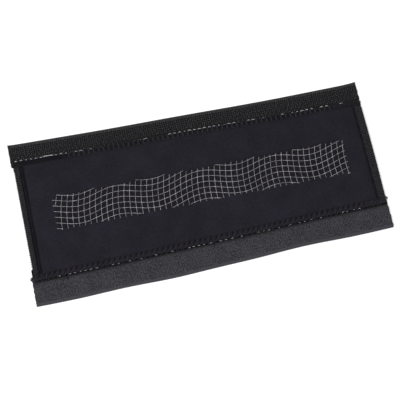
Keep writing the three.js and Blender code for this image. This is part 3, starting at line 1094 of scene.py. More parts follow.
@dataclass
class Panel:
    """The foam panel, pinched along its four seams.

    A pair holds where a change starts and the distance over which it is complete.
    """

    plan: Plan
    rim: float = 0.55
    rim_drop: float = 0.75
    # How far the real needle lines lie from those of the solids.
    upper_needle_in: float = 0.8
    left_needle_out: float = 0.5
    right_needle_in: float = 0.3
    dents: SlantedDents = SlantedDents()
    shade: SeamShade = SeamShade()
    print_ground: PrintGround = PrintGround()
    # Where the ends' bands cross those of the long edges.
    join: float = 0.12
    crossing: Pair = (2.4, 2.5)
    crossing_rise: float = 0.25
    crossing_over_end: float = 0.9
    crossing_past: float = 2.0
    # The slow waves of the face, which start inside the seams.
    face_waves: Sequence[Quad] = (
        (0.05, 17.0, 23.0, 0.0),
        (0.04, 31.0, -13.0, 1.3),
        (0.015, 9.0, 11.0, 0.6),
        (0.015, 9.0, -11.0, 0.6),
    )
    waves_in: Pair = (6.0, 8.0)
    # Where the loopers cover the cloth of the end bands.
    left_sewn: float = 5.0
    right_sewn: float = 5.2
    sewn_soft: float = 0.8
    # Where the bars of the upper seam start to show, and where that seam lies flat again.
    bars: Pair = (-91.0, 8.0)
    flat: Pair = (101.0, 6.0)
    bars_lost: float = 0.8
    # How the inner face steps over the laps of the tapes and the threads of the ends.
    lap_room: float = 0.8
    lap_soft: float = 2.5
    end_room: float = 0.6
    end_soft: float = 4.0
    # Spacing of the mesh: rings at the rim, fine rows along the seams and coarser ones between.
    rim_rings: Sequence[float] = (0.0, 0.03, 0.1, 0.2, 0.35, 0.55)
    fine_from: float = 0.85
    fine_ends: float = 12.0
    fine_lower: float = 11.0
    fine_upper: float = 8.0
    seam_step: float = 0.33
    field_step: float = 1.6
    along_step: float = 0.6
    outer_face_from: float = 1.4
    pinches: dict[Side, Pinch] = field(default_factory=dict)

    def __post_init__(self) -> None:
        """Work out the pinch of each edge from the plan."""
        plan = self.plan
        on_hooks = plan.hook_ground + plan.pinched
        on_loops = plan.loop_pressed + plan.pinched
        self.pinches = {
            Side.UPPER: Pinch(
                top=on_hooks, band=plan.upper_band + self.upper_needle_in, stitch=3.52, first=0.3,
                groove=0.5, groove_width=0.5, shoulder=3.4, dish=0.45,
            ),
            Side.LOWER: Pinch(
                top=on_loops, band=plan.lower_band, stitch=3.75, first=0.8,
                groove=0.3, groove_width=0.45, shoulder=4.0, dish=0.1,
            ),
            Side.LEFT: Pinch(
                top=on_hooks, band=plan.end_band - self.left_needle_out, stitch=3.3, first=0.0,
                groove=0.95, groove_width=1.25, shoulder=4.5, dish=0.1,
            ),
            Side.RIGHT: Pinch(
                top=on_hooks, band=plan.end_band + self.right_needle_in, stitch=3.3, first=0.9,
                groove=0.6, groove_width=0.6, shoulder=4.0, dish=0.1,
            ),
        }

    def distances(self, x: Array, y: Array) -> dict[Side, tuple[Array, Array]]:
        """Return, for each edge, the place along it and the distance in from it."""
        plan = self.plan
        return {
            Side.UPPER: (x, plan.upper_edge(x) - y),
            Side.LOWER: (x, y - plan.lower_edge(x)),
            Side.LEFT: (y, x - plan.panel_left),
            Side.RIGHT: (y, plan.panel_right - x),
        }

    def slots(self, t: Array, s: Array) -> Array:
        """Return 1 in the middle of the lower seam's slanted dents, and 0 beside them."""
        return self.dents.at(self.pinches[Side.LOWER], self.plan.panel_right, t, s)

    def edge_height(self, side: Side, t: Array, s: Array) -> Array:
        """Return the height that one sewn edge gives the outer face.

        Args:
            side: The edge.
            t: Place along it.
            s: Distance in from it.

        Returns:
            The height.
        """
        busy = self.busy(t) if side is Side.UPPER else 1.0
        height = self.pinches[side].height(self.plan.foam, busy, t, s)
        if side is Side.LOWER:
            height = height - self.dents.depth * self.slots(t, s)
        rim = np.clip(1.0 - np.clip(s, 0.0, None) / self.rim, 0.0, 1.0)
        return height - self.rim_drop * (1.0 - np.sqrt(1.0 - rim * rim))

    def top(self, x: Array, y: Array) -> Array:
        """Return the height of the outer face at plan places."""
        apart = self.distances(x, y)
        upper = self.edge_height(Side.UPPER, *apart[Side.UPPER])
        lower = self.edge_height(Side.LOWER, *apart[Side.LOWER])
        joined = lower_of(upper, lower, self.join)
        nearest = np.minimum(apart[Side.UPPER][1], apart[Side.LOWER][1])
        inner = onset(nearest, *self.crossing)
        for side in (Side.LEFT, Side.RIGHT):
            t, s = apart[side]
            pinch = self.pinches[side]
            end = self.edge_height(side, t, s)
            raised = np.minimum(pinch.top + self.crossing_rise, end + self.crossing_over_end)
            end = blend(np.where(s < self.rim, end, raised), end, inner)
            filled = np.maximum(end, blend(self.plan.foam, end, inner))
            end = np.where(s > pinch.band + self.crossing_past, filled, end)
            joined = lower_of(joined, end, self.join)
        nearest = np.minimum(nearest, np.minimum(apart[Side.LEFT][1], apart[Side.RIGHT][1]))
        waves = swell(self.face_waves, x, y)
        return joined + waves * onset(nearest, *self.waves_in)

    def upper_darkness(self, t: Array, s: Array) -> Array:
        """Return the upper seam's painted shade: between its stitches, and along its needle line."""
        shade, pinch = self.shade, self.pinches[Side.UPPER]
        busy = self.busy(t)
        gap = blend(shade.gap, ease(shade.gap * (1.0 - pinch.phase(t))), busy)
        gap = gap * ease((s - shade.gap_from_rim) / shade.gap_rim_soft)
        gap = gap * ease((pinch.band + shade.gap_past_needle - s) / shade.gap_soft)
        gap = gap * blend(shade.upper_loose, shade.upper_busy, busy)
        gap = gap * (1.0 - shade.upper_fading * self.faded(t))
        return np.maximum(gap, shade.upper_line * ridge(s, pinch.band, shade.upper_line_reach))

    def lower_darkness(self, t: Array, s: Array) -> Array:
        """Return the lower seam's painted shade: in its dents, along its needle line and its rim."""
        shade, pinch = self.shade, self.pinches[Side.LOWER]
        line = shade.lower_line * ridge(s, pinch.band, shade.lower_line_reach)
        rim = shade.lower_rim * ease((shade.lower_rim_reach - s) / shade.lower_rim_soft)
        return np.maximum(np.maximum(shade.dents * self.slots(t, s), line), rim)

    def darkness(self, x: Array, y: Array) -> Array:
        """Return the seams' painted shade and the print ground's darker tone, from 0 to 1."""
        apart = self.distances(x, y)
        shade = self.shade
        from_upper = apart[Side.UPPER][1] - shade.clear_of_upper
        from_lower = apart[Side.LOWER][1] - shade.clear_of_lower
        clear = ease(np.minimum(from_upper, from_lower))
        parts = [
            self.upper_darkness(*apart[Side.UPPER]),
            self.lower_darkness(*apart[Side.LOWER]),
            shade.left.at(self.pinches[Side.LEFT].band, *apart[Side.LEFT]) * clear,
            shade.right.at(self.pinches[Side.RIGHT].band, *apart[Side.RIGHT]) * clear,
            shade.under_print * self.print_ground.at(x, y),
        ]
        return np.clip(np.max(parts, axis=0), 0.0, 1.0)

    def sewn(self, x: Array, y: Array) -> Array:
        """Return 1 on the end bands, where the loopers cover the cloth, and 0 elsewhere."""
        apart = self.distances(x, y)
        left = ease((self.left_sewn - apart[Side.LEFT][1]) / self.sewn_soft)
        right = ease((self.right_sewn - apart[Side.RIGHT][1]) / self.sewn_soft)
        return np.maximum(left, right)

    def busy(self, x: Array) -> Array:
        """Return 1 where the bars of the upper seam show, and 0 where the thread lies loose."""
        return onset(x, *self.bars) * (1.0 - self.bars_lost * self.faded(x))

    def faded(self, x: Array) -> Array:
        """Return 1 near the narrow end, where the upper seam lies flat, and 0 elsewhere."""
        return onset(x, *self.flat)

    def bottom(self, x: Array, y: Array) -> Array:
        """Return the height of the inner face, which steps up over the laps of the tapes."""
        plan = self.plan
        hook_lap = plan.hook_width - plan.hook_shows_wide + self.lap_room
        loop_lap = plan.loop_width - plan.loop_shows_wide + self.lap_room
        from_upper, from_lower = plan.upper_edge(x) - y, y - plan.lower_edge(x)
        from_end = np.minimum(x - plan.panel_left, plan.panel_right - x)
        past_threads = from_end - plan.end_band - self.end_room
        over_hook = plan.hook_ground * (1.0 - ease((from_upper - hook_lap) / self.lap_soft))
        over_loop = plan.loop_pressed * (1.0 - ease((from_lower - loop_lap) / self.lap_soft))
        over_end = plan.thread * (1.0 - ease(past_threads / self.end_soft))
        return np.maximum(np.maximum(over_hook, over_loop), over_end)

    def rings(self, reach: float) -> Array:
        """Return distances in from a rim, up to where the fine rows end."""
        return np.concatenate([self.rim_rings, np.arange(self.fine_from, reach, self.seam_step)])

    def build(self, material: Material) -> Object:
        """Return the panel's object."""
        plan = self.plan
        ends, low, up = (self.rings(r) for r in (self.fine_ends, self.fine_lower, self.fine_upper))
        left, right = plan.panel_left, plan.panel_right
        inner = np.arange(left + self.fine_ends, right - self.fine_ends, self.along_step)
        xs = np.concatenate([left + ends, inner, (right - ends)[::-1]])
        count = int((plan.panel_width_wide - low[-1] - up[-1]) / self.field_step)
        columns = []
        for x in xs:
            bottom, top = plan.lower_edge(x), plan.upper_edge(x)
            rows = np.linspace(bottom + low[-1], top - up[-1], count + 2)[1:-1]
            columns.append(np.concatenate([bottom + low, rows, (top - up)[::-1]]))
        y = np.array(columns)
        x = np.repeat(xs[:, None], y.shape[1], axis=1)
        upper = plan.settle(np.stack([x, y, self.top(x, y)], 2))
        lower = plan.settle(np.stack([x, y, self.bottom(x, y)], 2))
        mesh = slab("neoprene_panel_foam", upper, lower)
        x, y, z = points_of(mesh).T
        # Carry the painted seam shade and the darker print ground, on the outer face only.
        carry(mesh, "pinch", self.darkness(x, y) * (z > self.outer_face_from))
        carry(mesh, "sewn", self.sewn(x, y))
        return add_object("neoprene_panel_foam", mesh, material)


@dataclass
class HookTape:
    """Hook tape: woven ground with a field of small hooks, sewn under the upper edge."""

    plan: Plan
    # Spacing of the ground's mesh: points along it, and shares of the way from the inner edge.
    stations: int = 251
    inner_shares: Sequence[float] = (0.0, 0.004, 0.012, 0.03, 0.08, 0.14, 0.155, 0.17)
    middle_shares: tuple[float, float, int] = (0.24, 0.94, 15)
    outer_shares: Sequence[float] = (0.97, 0.988, 0.996, 1.0)
    bevel: Sequence[float] = (0.22, 0.12, 0.04)
    under_bevel: float = 0.6
    # The two cut ends: uneven, and slanted at the wide end.
    ragged: Sequence[Triple] = ((0.12, 5.1, 0.0), (0.08, 11.0, 1.0))
    end_slant: float = 0.22
    slant_from: float = 0.6
    ground_wave: float = 0.02
    ground_wave_pace: float = 1.7
    lap_edge: float = 0.3
    # The field of hooks.
    selvedge: float = 1.9
    first_row: float = 0.3
    stagger: float = 0.3
    end_margin: float = 0.4
    clear_of_seam: float = 1.0
    pitch_along: float = 1.5
    pitch_across: float = 1.6
    stray: float = 0.38
    turn_step: float = 0.35
    wire: float = 0.33
    hook_reach: float = 0.95
    smallest: float = 0.88
    seed: int = 11
    # One hook as shares of its reach and height: up, over to one side and a little down.
    hook_spine: Sequence[Pair] = (
        (0.0, -0.12), (0.0, 0.6), (0.1, 0.88), (0.42, 1.0), (0.74, 0.86), (0.8, 0.62)
    )

    def ground(self, material: Material) -> Object:
        """Return the tape's woven ground."""
        plan = self.plan
        share = np.concatenate([
            self.inner_shares, np.linspace(*self.middle_shares), self.outer_shares
        ])
        flat = np.zeros(len(share) - 2 * len(self.bevel))
        round_off = np.concatenate([self.bevel, flat, self.bevel[::-1]])
        xs = np.linspace(-plan.length / 2, plan.length / 2, self.stations)
        inner = plan.straight_hook_edge(xs) - plan.hook_width
        x = np.repeat(xs[:, None], len(share), axis=1)
        y = inner[:, None] + (plan.hook_outer(xs) - inner)[:, None] * share
        hidden = y < plan.upper_edge(x) - plan.lap_at_ends
        x[0] += waver(self.ragged, y[0]) - self.end_slant * (self.slant_from + share)
        x[-1] += waver(self.ragged, y[-1])
        plan.cut_back(x, hidden)
        top = plan.hook_ground - round_off
        top = top + self.ground_wave * np.sin(x * self.ground_wave_pace + y)
        lapped = y < plan.upper_edge(x) + self.lap_edge
        top = np.where(lapped, np.minimum(top, plan.hook_ground), top)
        bottom = np.broadcast_to(round_off * self.under_bevel, x.shape)
        mesh = slab("hook_tape_ground", np.stack([x, y, top], 2), np.stack([x, y, bottom], 2))
        points = points_of(mesh)
        carry(mesh, "from_edge", plan.hook_outer(points[:, 0]) - points[:, 1])
        return add_object("hook_tape_ground", mesh, material)

    def hooks(self, material: Material) -> Object:
        """Return the whole field of hooks, whose rows lean to either side by turns."""
        plan = self.plan
        places, turns = [], []
        end = plan.length / 2 - self.end_margin
        for i, x in enumerate(np.arange(-end, end, self.pitch_along)):
            outer = plan.hook_outer(x) - self.selvedge - self.first_row - (i % 2) * self.stagger
            sewn = plan.upper_edge(x) + self.clear_of_seam
            side = math.pi / 2 if i % 2 else -math.pi / 2
            for k, y in enumerate(np.arange(outer, sewn, -self.pitch_across)):
                places.append((x, y, plan.hook_ground))
                turns.append(side + self.turn_step * ((i * 5 + k * 3) % 5 - 2))
        spine = np.array(self.hook_spine) * (self.hook_reach, plan.hook_height)
        return scatter(
            "hook_tape_hooks", places, bent_wire("one_hook", spine, self.wire), material,
            self.seed, self.smallest, self.stray, turns,
        )


@dataclass
class LoopTape:
    """Loop tape, pile down, sewn under the lower edge."""

    plan: Plan
    back: float = 0.65
    # Spacing of the mesh: points along it, and shares of what shows and of the lap.
    stations: int = 334
    outer_shares: Sequence[float] = (0.0, 0.006, 0.018, 0.04, 0.07)
    middle_shares: tuple[float, float, int] = (0.12, 0.86, 12)
    sewn_shares: Sequence[float] = (0.9, 0.94, 0.97, 1.0)
    lap_shares: Sequence[float] = (0.2, 0.36, 0.39, 0.6, 0.96, 0.985, 1.0)
    lap_gap: float = 0.2
    # The two cut ends.
    ragged_left: Sequence[Triple] = ((0.14, 4.3, 0.0), (0.08, 9.7, 0.0))
    ragged_right: Sequence[Triple] = ((0.14, 4.7, 1.0), (0.08, 9.1, 0.0))
    left_in: float = 0.15
    right_in: float = 0.2
    # How the back sinks under the seam, as the start and length of the change in the distance
    # from it, and how its outer edge rounds and droops.
    press: Pair = (0.5, 1.6)
    rounding: float = 0.2
    rounding_reach: float = 0.5
    droop: float = 0.55
    droop_reach: float = 2.4
    under_bevel: float = 0.1
    waves: Sequence[Quad] = (
        (0.05, 8.0, 6.0, 0.0), (0.05, 14.0, -9.0, 0.0)
    )
    # The pile.
    pitch: float = 1.35
    yarn: float = 0.16
    left_margin: float = 0.8
    right_margin: float = 0.6
    selvedge: float = 2.2
    clear_of_seam: float = 1.2
    loop_reach: float = 0.95
    over_floor: float = 0.03
    smallest: float = 0.8
    seed: int = 23
    # One loop as shares of its reach and height: down out of the back and up again.
    loop_spine: Sequence[Pair] = (
        (-0.26, 0.1), (-0.42, -0.5), (-0.14, -0.98), (0.2, -0.98), (0.44, -0.45), (0.24, 0.1)
    )

    def weave(self, material: Material) -> Object:
        """Return the tape's woven back."""
        plan = self.plan
        share = np.concatenate([
            self.outer_shares, np.linspace(*self.middle_shares), self.sewn_shares
        ])
        xs = np.linspace(-plan.length / 2, plan.length / 2, self.stations)
        outer, sewn = plan.loop_outer(xs)[:, None], plan.lower_edge(xs)[:, None]
        inner = (plan.straight_loop_edge(xs) + plan.loop_width)[:, None]
        visible = outer + (sewn - self.lap_gap - outer) * share
        lapped = sewn + (inner - sewn) * np.array(self.lap_shares)
        y = np.concatenate([visible, lapped], axis=1)
        x = np.repeat(xs[:, None], y.shape[1], axis=1)
        hidden = y > plan.lower_edge(x) + plan.lap_at_ends
        x[0] += waver(self.ragged_left, y[0]) + self.left_in
        x[-1] += waver(self.ragged_right, y[-1]) - self.right_in
        plan.cut_back(x, hidden)
        press = 1.0 - onset(plan.lower_edge(x) - y, *self.press)
        from_edge = y - outer
        rounded = np.clip(1.0 - from_edge / self.rounding_reach, 0.0, 1.0)
        drooped = np.clip(1.0 - from_edge / self.droop_reach, 0.0, 1.0)
        top = blend(plan.loop_thickness, plan.loop_pressed, press)
        top = top - self.rounding * rounded**2 - self.droop * drooped**1.5
        top = top + swell(self.waves, x, y) * (1.0 - press)
        bottom = top - self.back + self.under_bevel * rounded
        mesh = slab("loop_tape_back", np.stack([x, y, top], 2), np.stack([x, y, bottom], 2))
        points = points_of(mesh)
        carry(mesh, "from_edge", points[:, 1] - plan.loop_outer(points[:, 0]))
        return add_object("loop_tape_back", mesh, material)

    def pile(self, material: Material) -> Object:
        """Return the loops under the tape."""
        plan = self.plan
        under = plan.loop_thickness - self.back
        start, end = self.left_margin - plan.length / 2, plan.length / 2 - self.right_margin
        places = []
        for i, x in enumerate(np.arange(start, end, self.pitch)):
            outer = plan.loop_outer(x) + self.selvedge + (i % 2) * self.pitch / 2
            sewn = plan.lower_edge(x) - self.clear_of_seam
            places += [(x, y, under) for y in np.arange(outer, sewn, self.pitch)]
        spine = np.array(self.loop_spine) * (self.loop_reach, under - self.over_floor)
        return scatter(
            "loop_tape_pile", places, bent_wire("one_loop", spine, self.yarn), material,
            self.seed, self.smallest,
        )


@dataclass(frozen=True)
class TopLooper:
    """How the black looper of one seam lies."""

    radius: float
    past_rim: float
    short_of_needle: float
    half_gap: float = 0.3


@dataclass(frozen=True)
class PaleZone:
    """A stretch of a seam where the pale under thread pulls through to the outside."""

    middle: float
    reach: float
    share: float
    fullness: float


@dataclass(frozen=True)
class PaleThread:
    """How the pale under thread of one long seam lies, inside the seam and pulled out of it."""

    radius: float
    inside: float
    outside: float
    inside_height: float
    outside_height: float
    swing: Pair
    zones: Sequence[PaleZone]
    full_outside: float = 0.0
    full_height: float = 0.0
    slip: float = 0.0


TOP_LOOPERS = {
    Side.UPPER: TopLooper(radius=0.2, past_rim=0.42, short_of_needle=0.1, half_gap=0.22),
    Side.LOWER: TopLooper(radius=0.17, past_rim=0.3, short_of_needle=0.1),
    Side.LEFT: TopLooper(radius=0.17, past_rim=0.38, short_of_needle=1.7),
    Side.RIGHT: TopLooper(radius=0.17, past_rim=0.38, short_of_needle=0.9),
}

UPPER_PALE = PaleThread(
    radius=0.23, inside=0.15, outside=-0.38, inside_height=0.15, outside_height=0.6,
    swing=(0.08, 2.9), full_outside=0.1, full_height=0.35,
    zones=(
        PaleZone(-117.0, 4.5, 0.9, 0.8),
        PaleZone(-106.5, 6.0, 0.95, 0.7),
        PaleZone(-97.5, 3.6, 1.0, 1.7),
        PaleZone(-88.5, 5.0, 0.9, 0.75),
        PaleZone(-75.0, 9.0, 0.9, 0.4),
        PaleZone(-52.0, 12.0, 0.6, 0.25),
        PaleZone(-33.0, 6.5, 0.7, 0.4),
        PaleZone(-8.0, 6.0, 1.0, 0.6),
        PaleZone(12.0, 14.0, 1.0, 0.9),
        PaleZone(38.0, 13.0, 0.9, 0.6),
        PaleZone(60.0, 9.0, 0.5, 0.35),
        PaleZone(80.0, 12.0, 0.9, 0.7),
        PaleZone(98.0, 3.6, 1.0, 0.8),
        PaleZone(111.0, 1.5, 1.0, 0.9),
    ),
)

LOWER_PALE = PaleThread(
    radius=0.13, inside=0.4, outside=0.75, inside_height=-0.6, outside_height=0.22,
    swing=(0.25, 1.7), slip=0.7,
    zones=(
        PaleZone(-107.0, 1.5, 1.0, 0.5),
        PaleZone(-94.0, 6.0, 0.8, 0.7),
        PaleZone(-83.0, 5.0, 1.0, 0.9),
        PaleZone(-55.0, 22.0, 0.35, 0.45),
        PaleZone(-28.0, 3.5, 1.0, 0.8),
        PaleZone(-7.0, 9.0, 0.95, 0.8),
        PaleZone(16.0, 11.0, 0.9, 0.8),
        PaleZone(42.0, 12.0, 0.7, 0.5),
        PaleZone(67.0, 14.0, 0.95, 0.6),
        PaleZone(99.0, 7.0, 1.0, 0.8),
    ),
)


@dataclass
class Seam:
    """One overlock seam: needle thread, top looper and under looper."""

    plan: Plan
    panel: Panel
    side: Side
    twist: float = 0.9
    step: float = 0.16
    flatness: float = 0.75
    # How far the seam keeps from the panel's corners.
    end_margin: float = 0.4
    lower_corner: float = 0.2
    upper_corner: float = 0.3
    # Where a thread starts to bend down over the rim, how softly, and onto what at an end.
    rim_in: float = 0.4
    rim_soft: float = 0.85
    beside_end: float = 0.6
    sunk: float = 0.25
    # The top looper: how much narrower its turns are at the rim, and how it wanders.
    near_share: float = 0.8
    looper_flatness: float = 0.72
    wander: Sequence[Triple] = ((0.07, 0.9, 0.0), (0.05, 2.3, 1.0))
    loose_width: float = 0.12
    # The slanted turns of the lower seam, as places past a stitch.
    slant_far: float = 1.05
    slant_near: float = 0.45
    slant_back: float = 1.0
    slant_end: float = 1.45
    # The two cords along the lower rim: distance in from it and height over the tape.
    rim_cords: Sequence[Pair] = ((-0.42, 0.3), (0.1, 1.1))
    cord_step: float = 0.4
    cord_swing: Sequence[Triple] = ((0.12, 2.9, 0.0), (0.07, 6.1, 0.5))
    cord_rise: Sequence[Triple] = ((0.08, 3.7, math.pi / 2),)
    # The needle thread.
    needle_radius: float = 0.19
    needle_sunk: float = 0.2
    needle_points: int = 12
    needle_stray: Sequence[Triple] = ((0.05, 0.8, 0.0),)
    needle_rise: float = 0.08
    needle_dip: float = 0.25
    # The black under looper of an end.
    under_radius: float = 0.19
    under_half_gap: float = 0.45
    under_from: float = 0.4
    under_short: float = 0.3
    under_step: float = 0.24
    under_height: float = 0.24
    under_flatness: float = 0.8
    # The pale thread of a long seam, from stitch to stitch.
    pale_sizes: Pair = (0.5, 1.2)
    pale_lengths: Pair = (0.45, 1.0)
    pale_points: int = 12
    pale_pull: float = 2.0
    pale_round: float = 0.6
    pale_join: float = 3.0
    pale_join_most: float = 0.92
    pale_thin: float = 0.6
    pale_wide: float = 0.75
    pale_wider: float = 0.35
    pale_widest: float = 1.2
    pale_twist: float = 0.54
    seed: int = 3

    @property
    def pinch(self) -> Pinch:
        """How this seam pinches the panel."""
        return self.panel.pinches[self.side]

    @property
    def is_long(self) -> bool:
        """Whether the seam joins a tape to the panel."""
        return self.side in (Side.UPPER, Side.LOWER)

    @property
    def tape_top(self) -> float:
        """The height of what lies beside the seam's rim."""
        tapes = {Side.UPPER: self.plan.hook_ground, Side.LOWER: self.plan.loop_pressed}
        return tapes.get(self.side, self.beside_end)

    def reach(self) -> Pair:
        """Return the two ends of the seam, along it."""
        plan = self.plan
        if self.is_long:
            return plan.panel_left + self.end_margin, plan.panel_right - self.end_margin
        where = plan.panel_left if self.side is Side.LEFT else plan.panel_right
        start = plan.lower_edge(where) + plan.lower_band + self.lower_corner
        return start, plan.upper_edge(where) - plan.upper_band - self.upper_corner

    def in_plan(self, t: Array, s: Array) -> tuple[Array, Array]:
        """Return the plan places of points given along the seam and in from its rim."""
        plan = self.plan
        if self.side is Side.UPPER:
            return t, plan.upper_edge(t) - s
        if self.side is Side.LOWER:
            return t, plan.lower_edge(t) + s
        if self.side is Side.LEFT:
            return plan.panel_left + s, t
        return plan.panel_right - s, t

    def settled(self, t: Array, s: Array, z: Array | float) -> Array:
        """Return points given along the seam, in from its rim and by their height."""
        x, y = self.in_plan(t, s)
        return self.plan.settle(np.stack([x, y, np.broadcast_to(z, np.shape(x))], 1))

    def lay(self, t: Array, s: Array, radius: float, sunk: float) -> Array:
        """Lay a thread on the panel, and over the rim where it goes past it.

        Args:
            t: Places along the seam.
            s: Distances in from the rim, below 0 outside it.
            radius: The thread's radius.
            sunk: Share of the radius that sinks into the cloth.

        Returns:
            Points in millimetres.
        """
        surface = self.panel.top(*self.in_plan(t, np.clip(s, self.rim_in, None)))
        over = ease((self.rim_in - s) / self.rim_soft)
        return self.settled(t, s, blend(surface, self.tape_top, over) + radius * (1.0 - sunk))

    def bars(self, half_gap: float, near: float, far: float) -> Array:
        """Return corners of a looper that crosses the band and comes back at each stitch.

        Args:
            half_gap: Half the distance between its two legs.
            near: Where it turns at the rim, as a distance in from it.
            far: Where it turns inside the band.

        Returns:
            One row for each corner: place along the seam and distance in.
        """
        marks = self.pinch.marks(*self.reach())
        if not self.is_long:
            half = self.pinch.stitch / 2
            marks = marks[0] + half * np.arange(2 * len(marks) - 1)
        narrow = half_gap * self.near_share
        corners = []
        for t in marks:
            corners += [(t - half_gap, far), (t - narrow, near)]
            corners += [(t + narrow, near), (t + half_gap, far)]
        return np.array(corners)

    def slants(self, near: float, far: float) -> Array:
        """Return corners of a looper with one long slanted and one straight leg to a stitch.

        Args:
            near: Where it turns at the rim, as a distance in from it.
            far: Where it turns inside the band.

        Returns:
            One row for each corner: place along the seam and distance in.
        """
        stitch = self.pinch.stitch
        start, end = self.reach()
        corners = []
        for t in self.pinch.marks(start + stitch, end):
            back = t - stitch
            corners += [(back + self.slant_far, far), (back + self.slant_near, near)]
            corners += [(back + self.slant_back, near), (t + self.slant_end, far)]
        return np.array(corners)

    def top_looper(self, material: Material) -> Object:
        """Return the black looper thread between needle line and rim."""
        looper = TOP_LOOPERS[self.side]
        near, far = -looper.past_rim, self.pinch.band - looper.short_of_needle
        if self.side is Side.LOWER:
            corners = self.slants(near, far)
        else:
            corners = self.bars(looper.half_gap, near, far)
        t, s = walk(corners, self.step, soften=2).T
        paths = [self.lay(t, s + waver(self.wander, t), looper.radius, self.sunk)]
        widths = None
        if self.side is Side.LOWER:
            paths += [self.rim_cord(*cord) for cord in self.rim_cords]
        if self.side is Side.UPPER:
            widths = [blend(self.loose_width, 1.0, self.panel.busy(paths[0][:, 0]))]
        return thread_mesh(
            f"{self.side.value}_seam_looper", paths, material,
            looper.radius, self.looper_flatness, self.twist, widths,
        )

    def rim_cord(self, s: float, height: float) -> Array:
        """Return a thread that follows the rim at a height over the tape, with loose turns."""
        t = np.arange(*self.reach(), self.cord_step)
        z = self.tape_top + height + waver(self.cord_rise, t)
        return self.settled(t, s + waver(self.cord_swing, t), z)

    def needle(self, material: Material) -> Object:
        """Return the needle thread, which dips into the cloth at every stitch."""
        t = np.arange(*self.reach(), self.pinch.stitch / self.needle_points)
        s = self.pinch.band + waver(self.needle_stray, t)
        path = self.lay(t, s, self.needle_radius, self.needle_sunk)
        dip = np.clip(self.pinch.phase(t), 0.0, 1.0) ** 3
        path[:, 2] += self.needle_rise * (1.0 - dip) - self.needle_dip * dip
        return thread_mesh(
            f"{self.side.value}_seam_needle", [path], material,
            self.needle_radius, self.flatness, self.twist,
        )

    def stretches(self, pale: PaleThread) -> Array:
        """Return how the pale thread shows from stitch to stitch.

        Args:
            pale: How the thread lies on this seam.

        Returns:
            One row for each gap: its middle, how fully the thread shows, and how long.
        """
        draw = np.random.default_rng(self.seed + len(self.side.value))
        stitch = self.pinch.stitch
        found = []
        for t in self.pinch.marks(*self.reach())[:-1] + stitch / 2:
            chance = draw.uniform()
            size, length = draw.uniform(*self.pale_sizes), draw.uniform(*self.pale_lengths)
            if pale.slip:
                t = t + draw.uniform(-pale.slip, pale.slip)
            near = [zone for zone in pale.zones if abs(t - zone.middle) < zone.reach]
            shows = [zone.fullness for zone in near if chance < zone.share]
            found.append((t, max(shows, default=0.0) * size, length))
        return np.array(found)

    def black_under_looper(self, material: Material) -> Object:
        """Return the under looper of an end, which lies under the panel."""
        far = self.pinch.band - self.under_short
        corners = self.bars(self.under_half_gap, self.under_from, far)
        t, s = walk(corners, self.under_step).T
        path = self.settled(t, s, self.under_height)
        return thread_mesh(
            f"{self.side.value}_seam_under_thread", [path], material,
            self.under_radius, self.under_flatness, self.twist,
        )

    def pale_under_looper(self, material: Material) -> Object:
        """Return the under looper of a long seam, which humps out of it between stitches."""
        upper = self.side is Side.UPPER
        pale = UPPER_PALE if upper else LOWER_PALE
        middle, full, length = (column[:, None] for column in self.stretches(pale).T)
        k = np.linspace(-1.0, 1.0, self.pale_points + 1)[:-1]
        shows = (full > 0.0) * 1.0
        hump = np.cos(np.minimum(np.abs(k) / length, 1.0) * math.pi / 2) ** self.pale_round
        joined = np.clip((full - 1.0) * self.pale_join, 0.0, self.pale_join_most)
        hump = np.maximum(hump, joined)
        out = hump * np.minimum(full * self.pale_pull, 1.0)
        t = middle + k * self.pinch.stitch / 2
        s = blend(pale.inside, pale.outside - pale.full_outside * full, out)
        s = s + pale.swing[0] * np.sin(pale.swing[1] * t)
        raised = pale.outside_height + pale.full_height * full
        if upper:
            z = self.tape_top + blend(pale.inside_height, raised, out)
        else:
            peak = shows * hump**2
            z = self.panel.top(*self.in_plan(t, s)) + blend(pale.inside_height, raised, peak)
        widest = np.minimum(self.pale_wide + self.pale_wider * full, self.pale_widest)
        width = blend(self.pale_thin, widest, shows * hump)
        path = self.settled(t.ravel(), s.ravel(), z.ravel())
        return thread_mesh(
            f"{self.side.value}_seam_under_thread", [path], material,
            pale.radius, self.flatness, self.pale_twist, [width.ravel()],
        )


@dataclass(frozen=True)
class Wave:
    """A wave along the print's rows."""

    height: float
    length: float
    crest: float

    def at(self, x: Array) -> Array:
        """Return the wave's height at x."""
        return self.height * np.cos(2 * math.pi * (x - self.crest) / self.length)


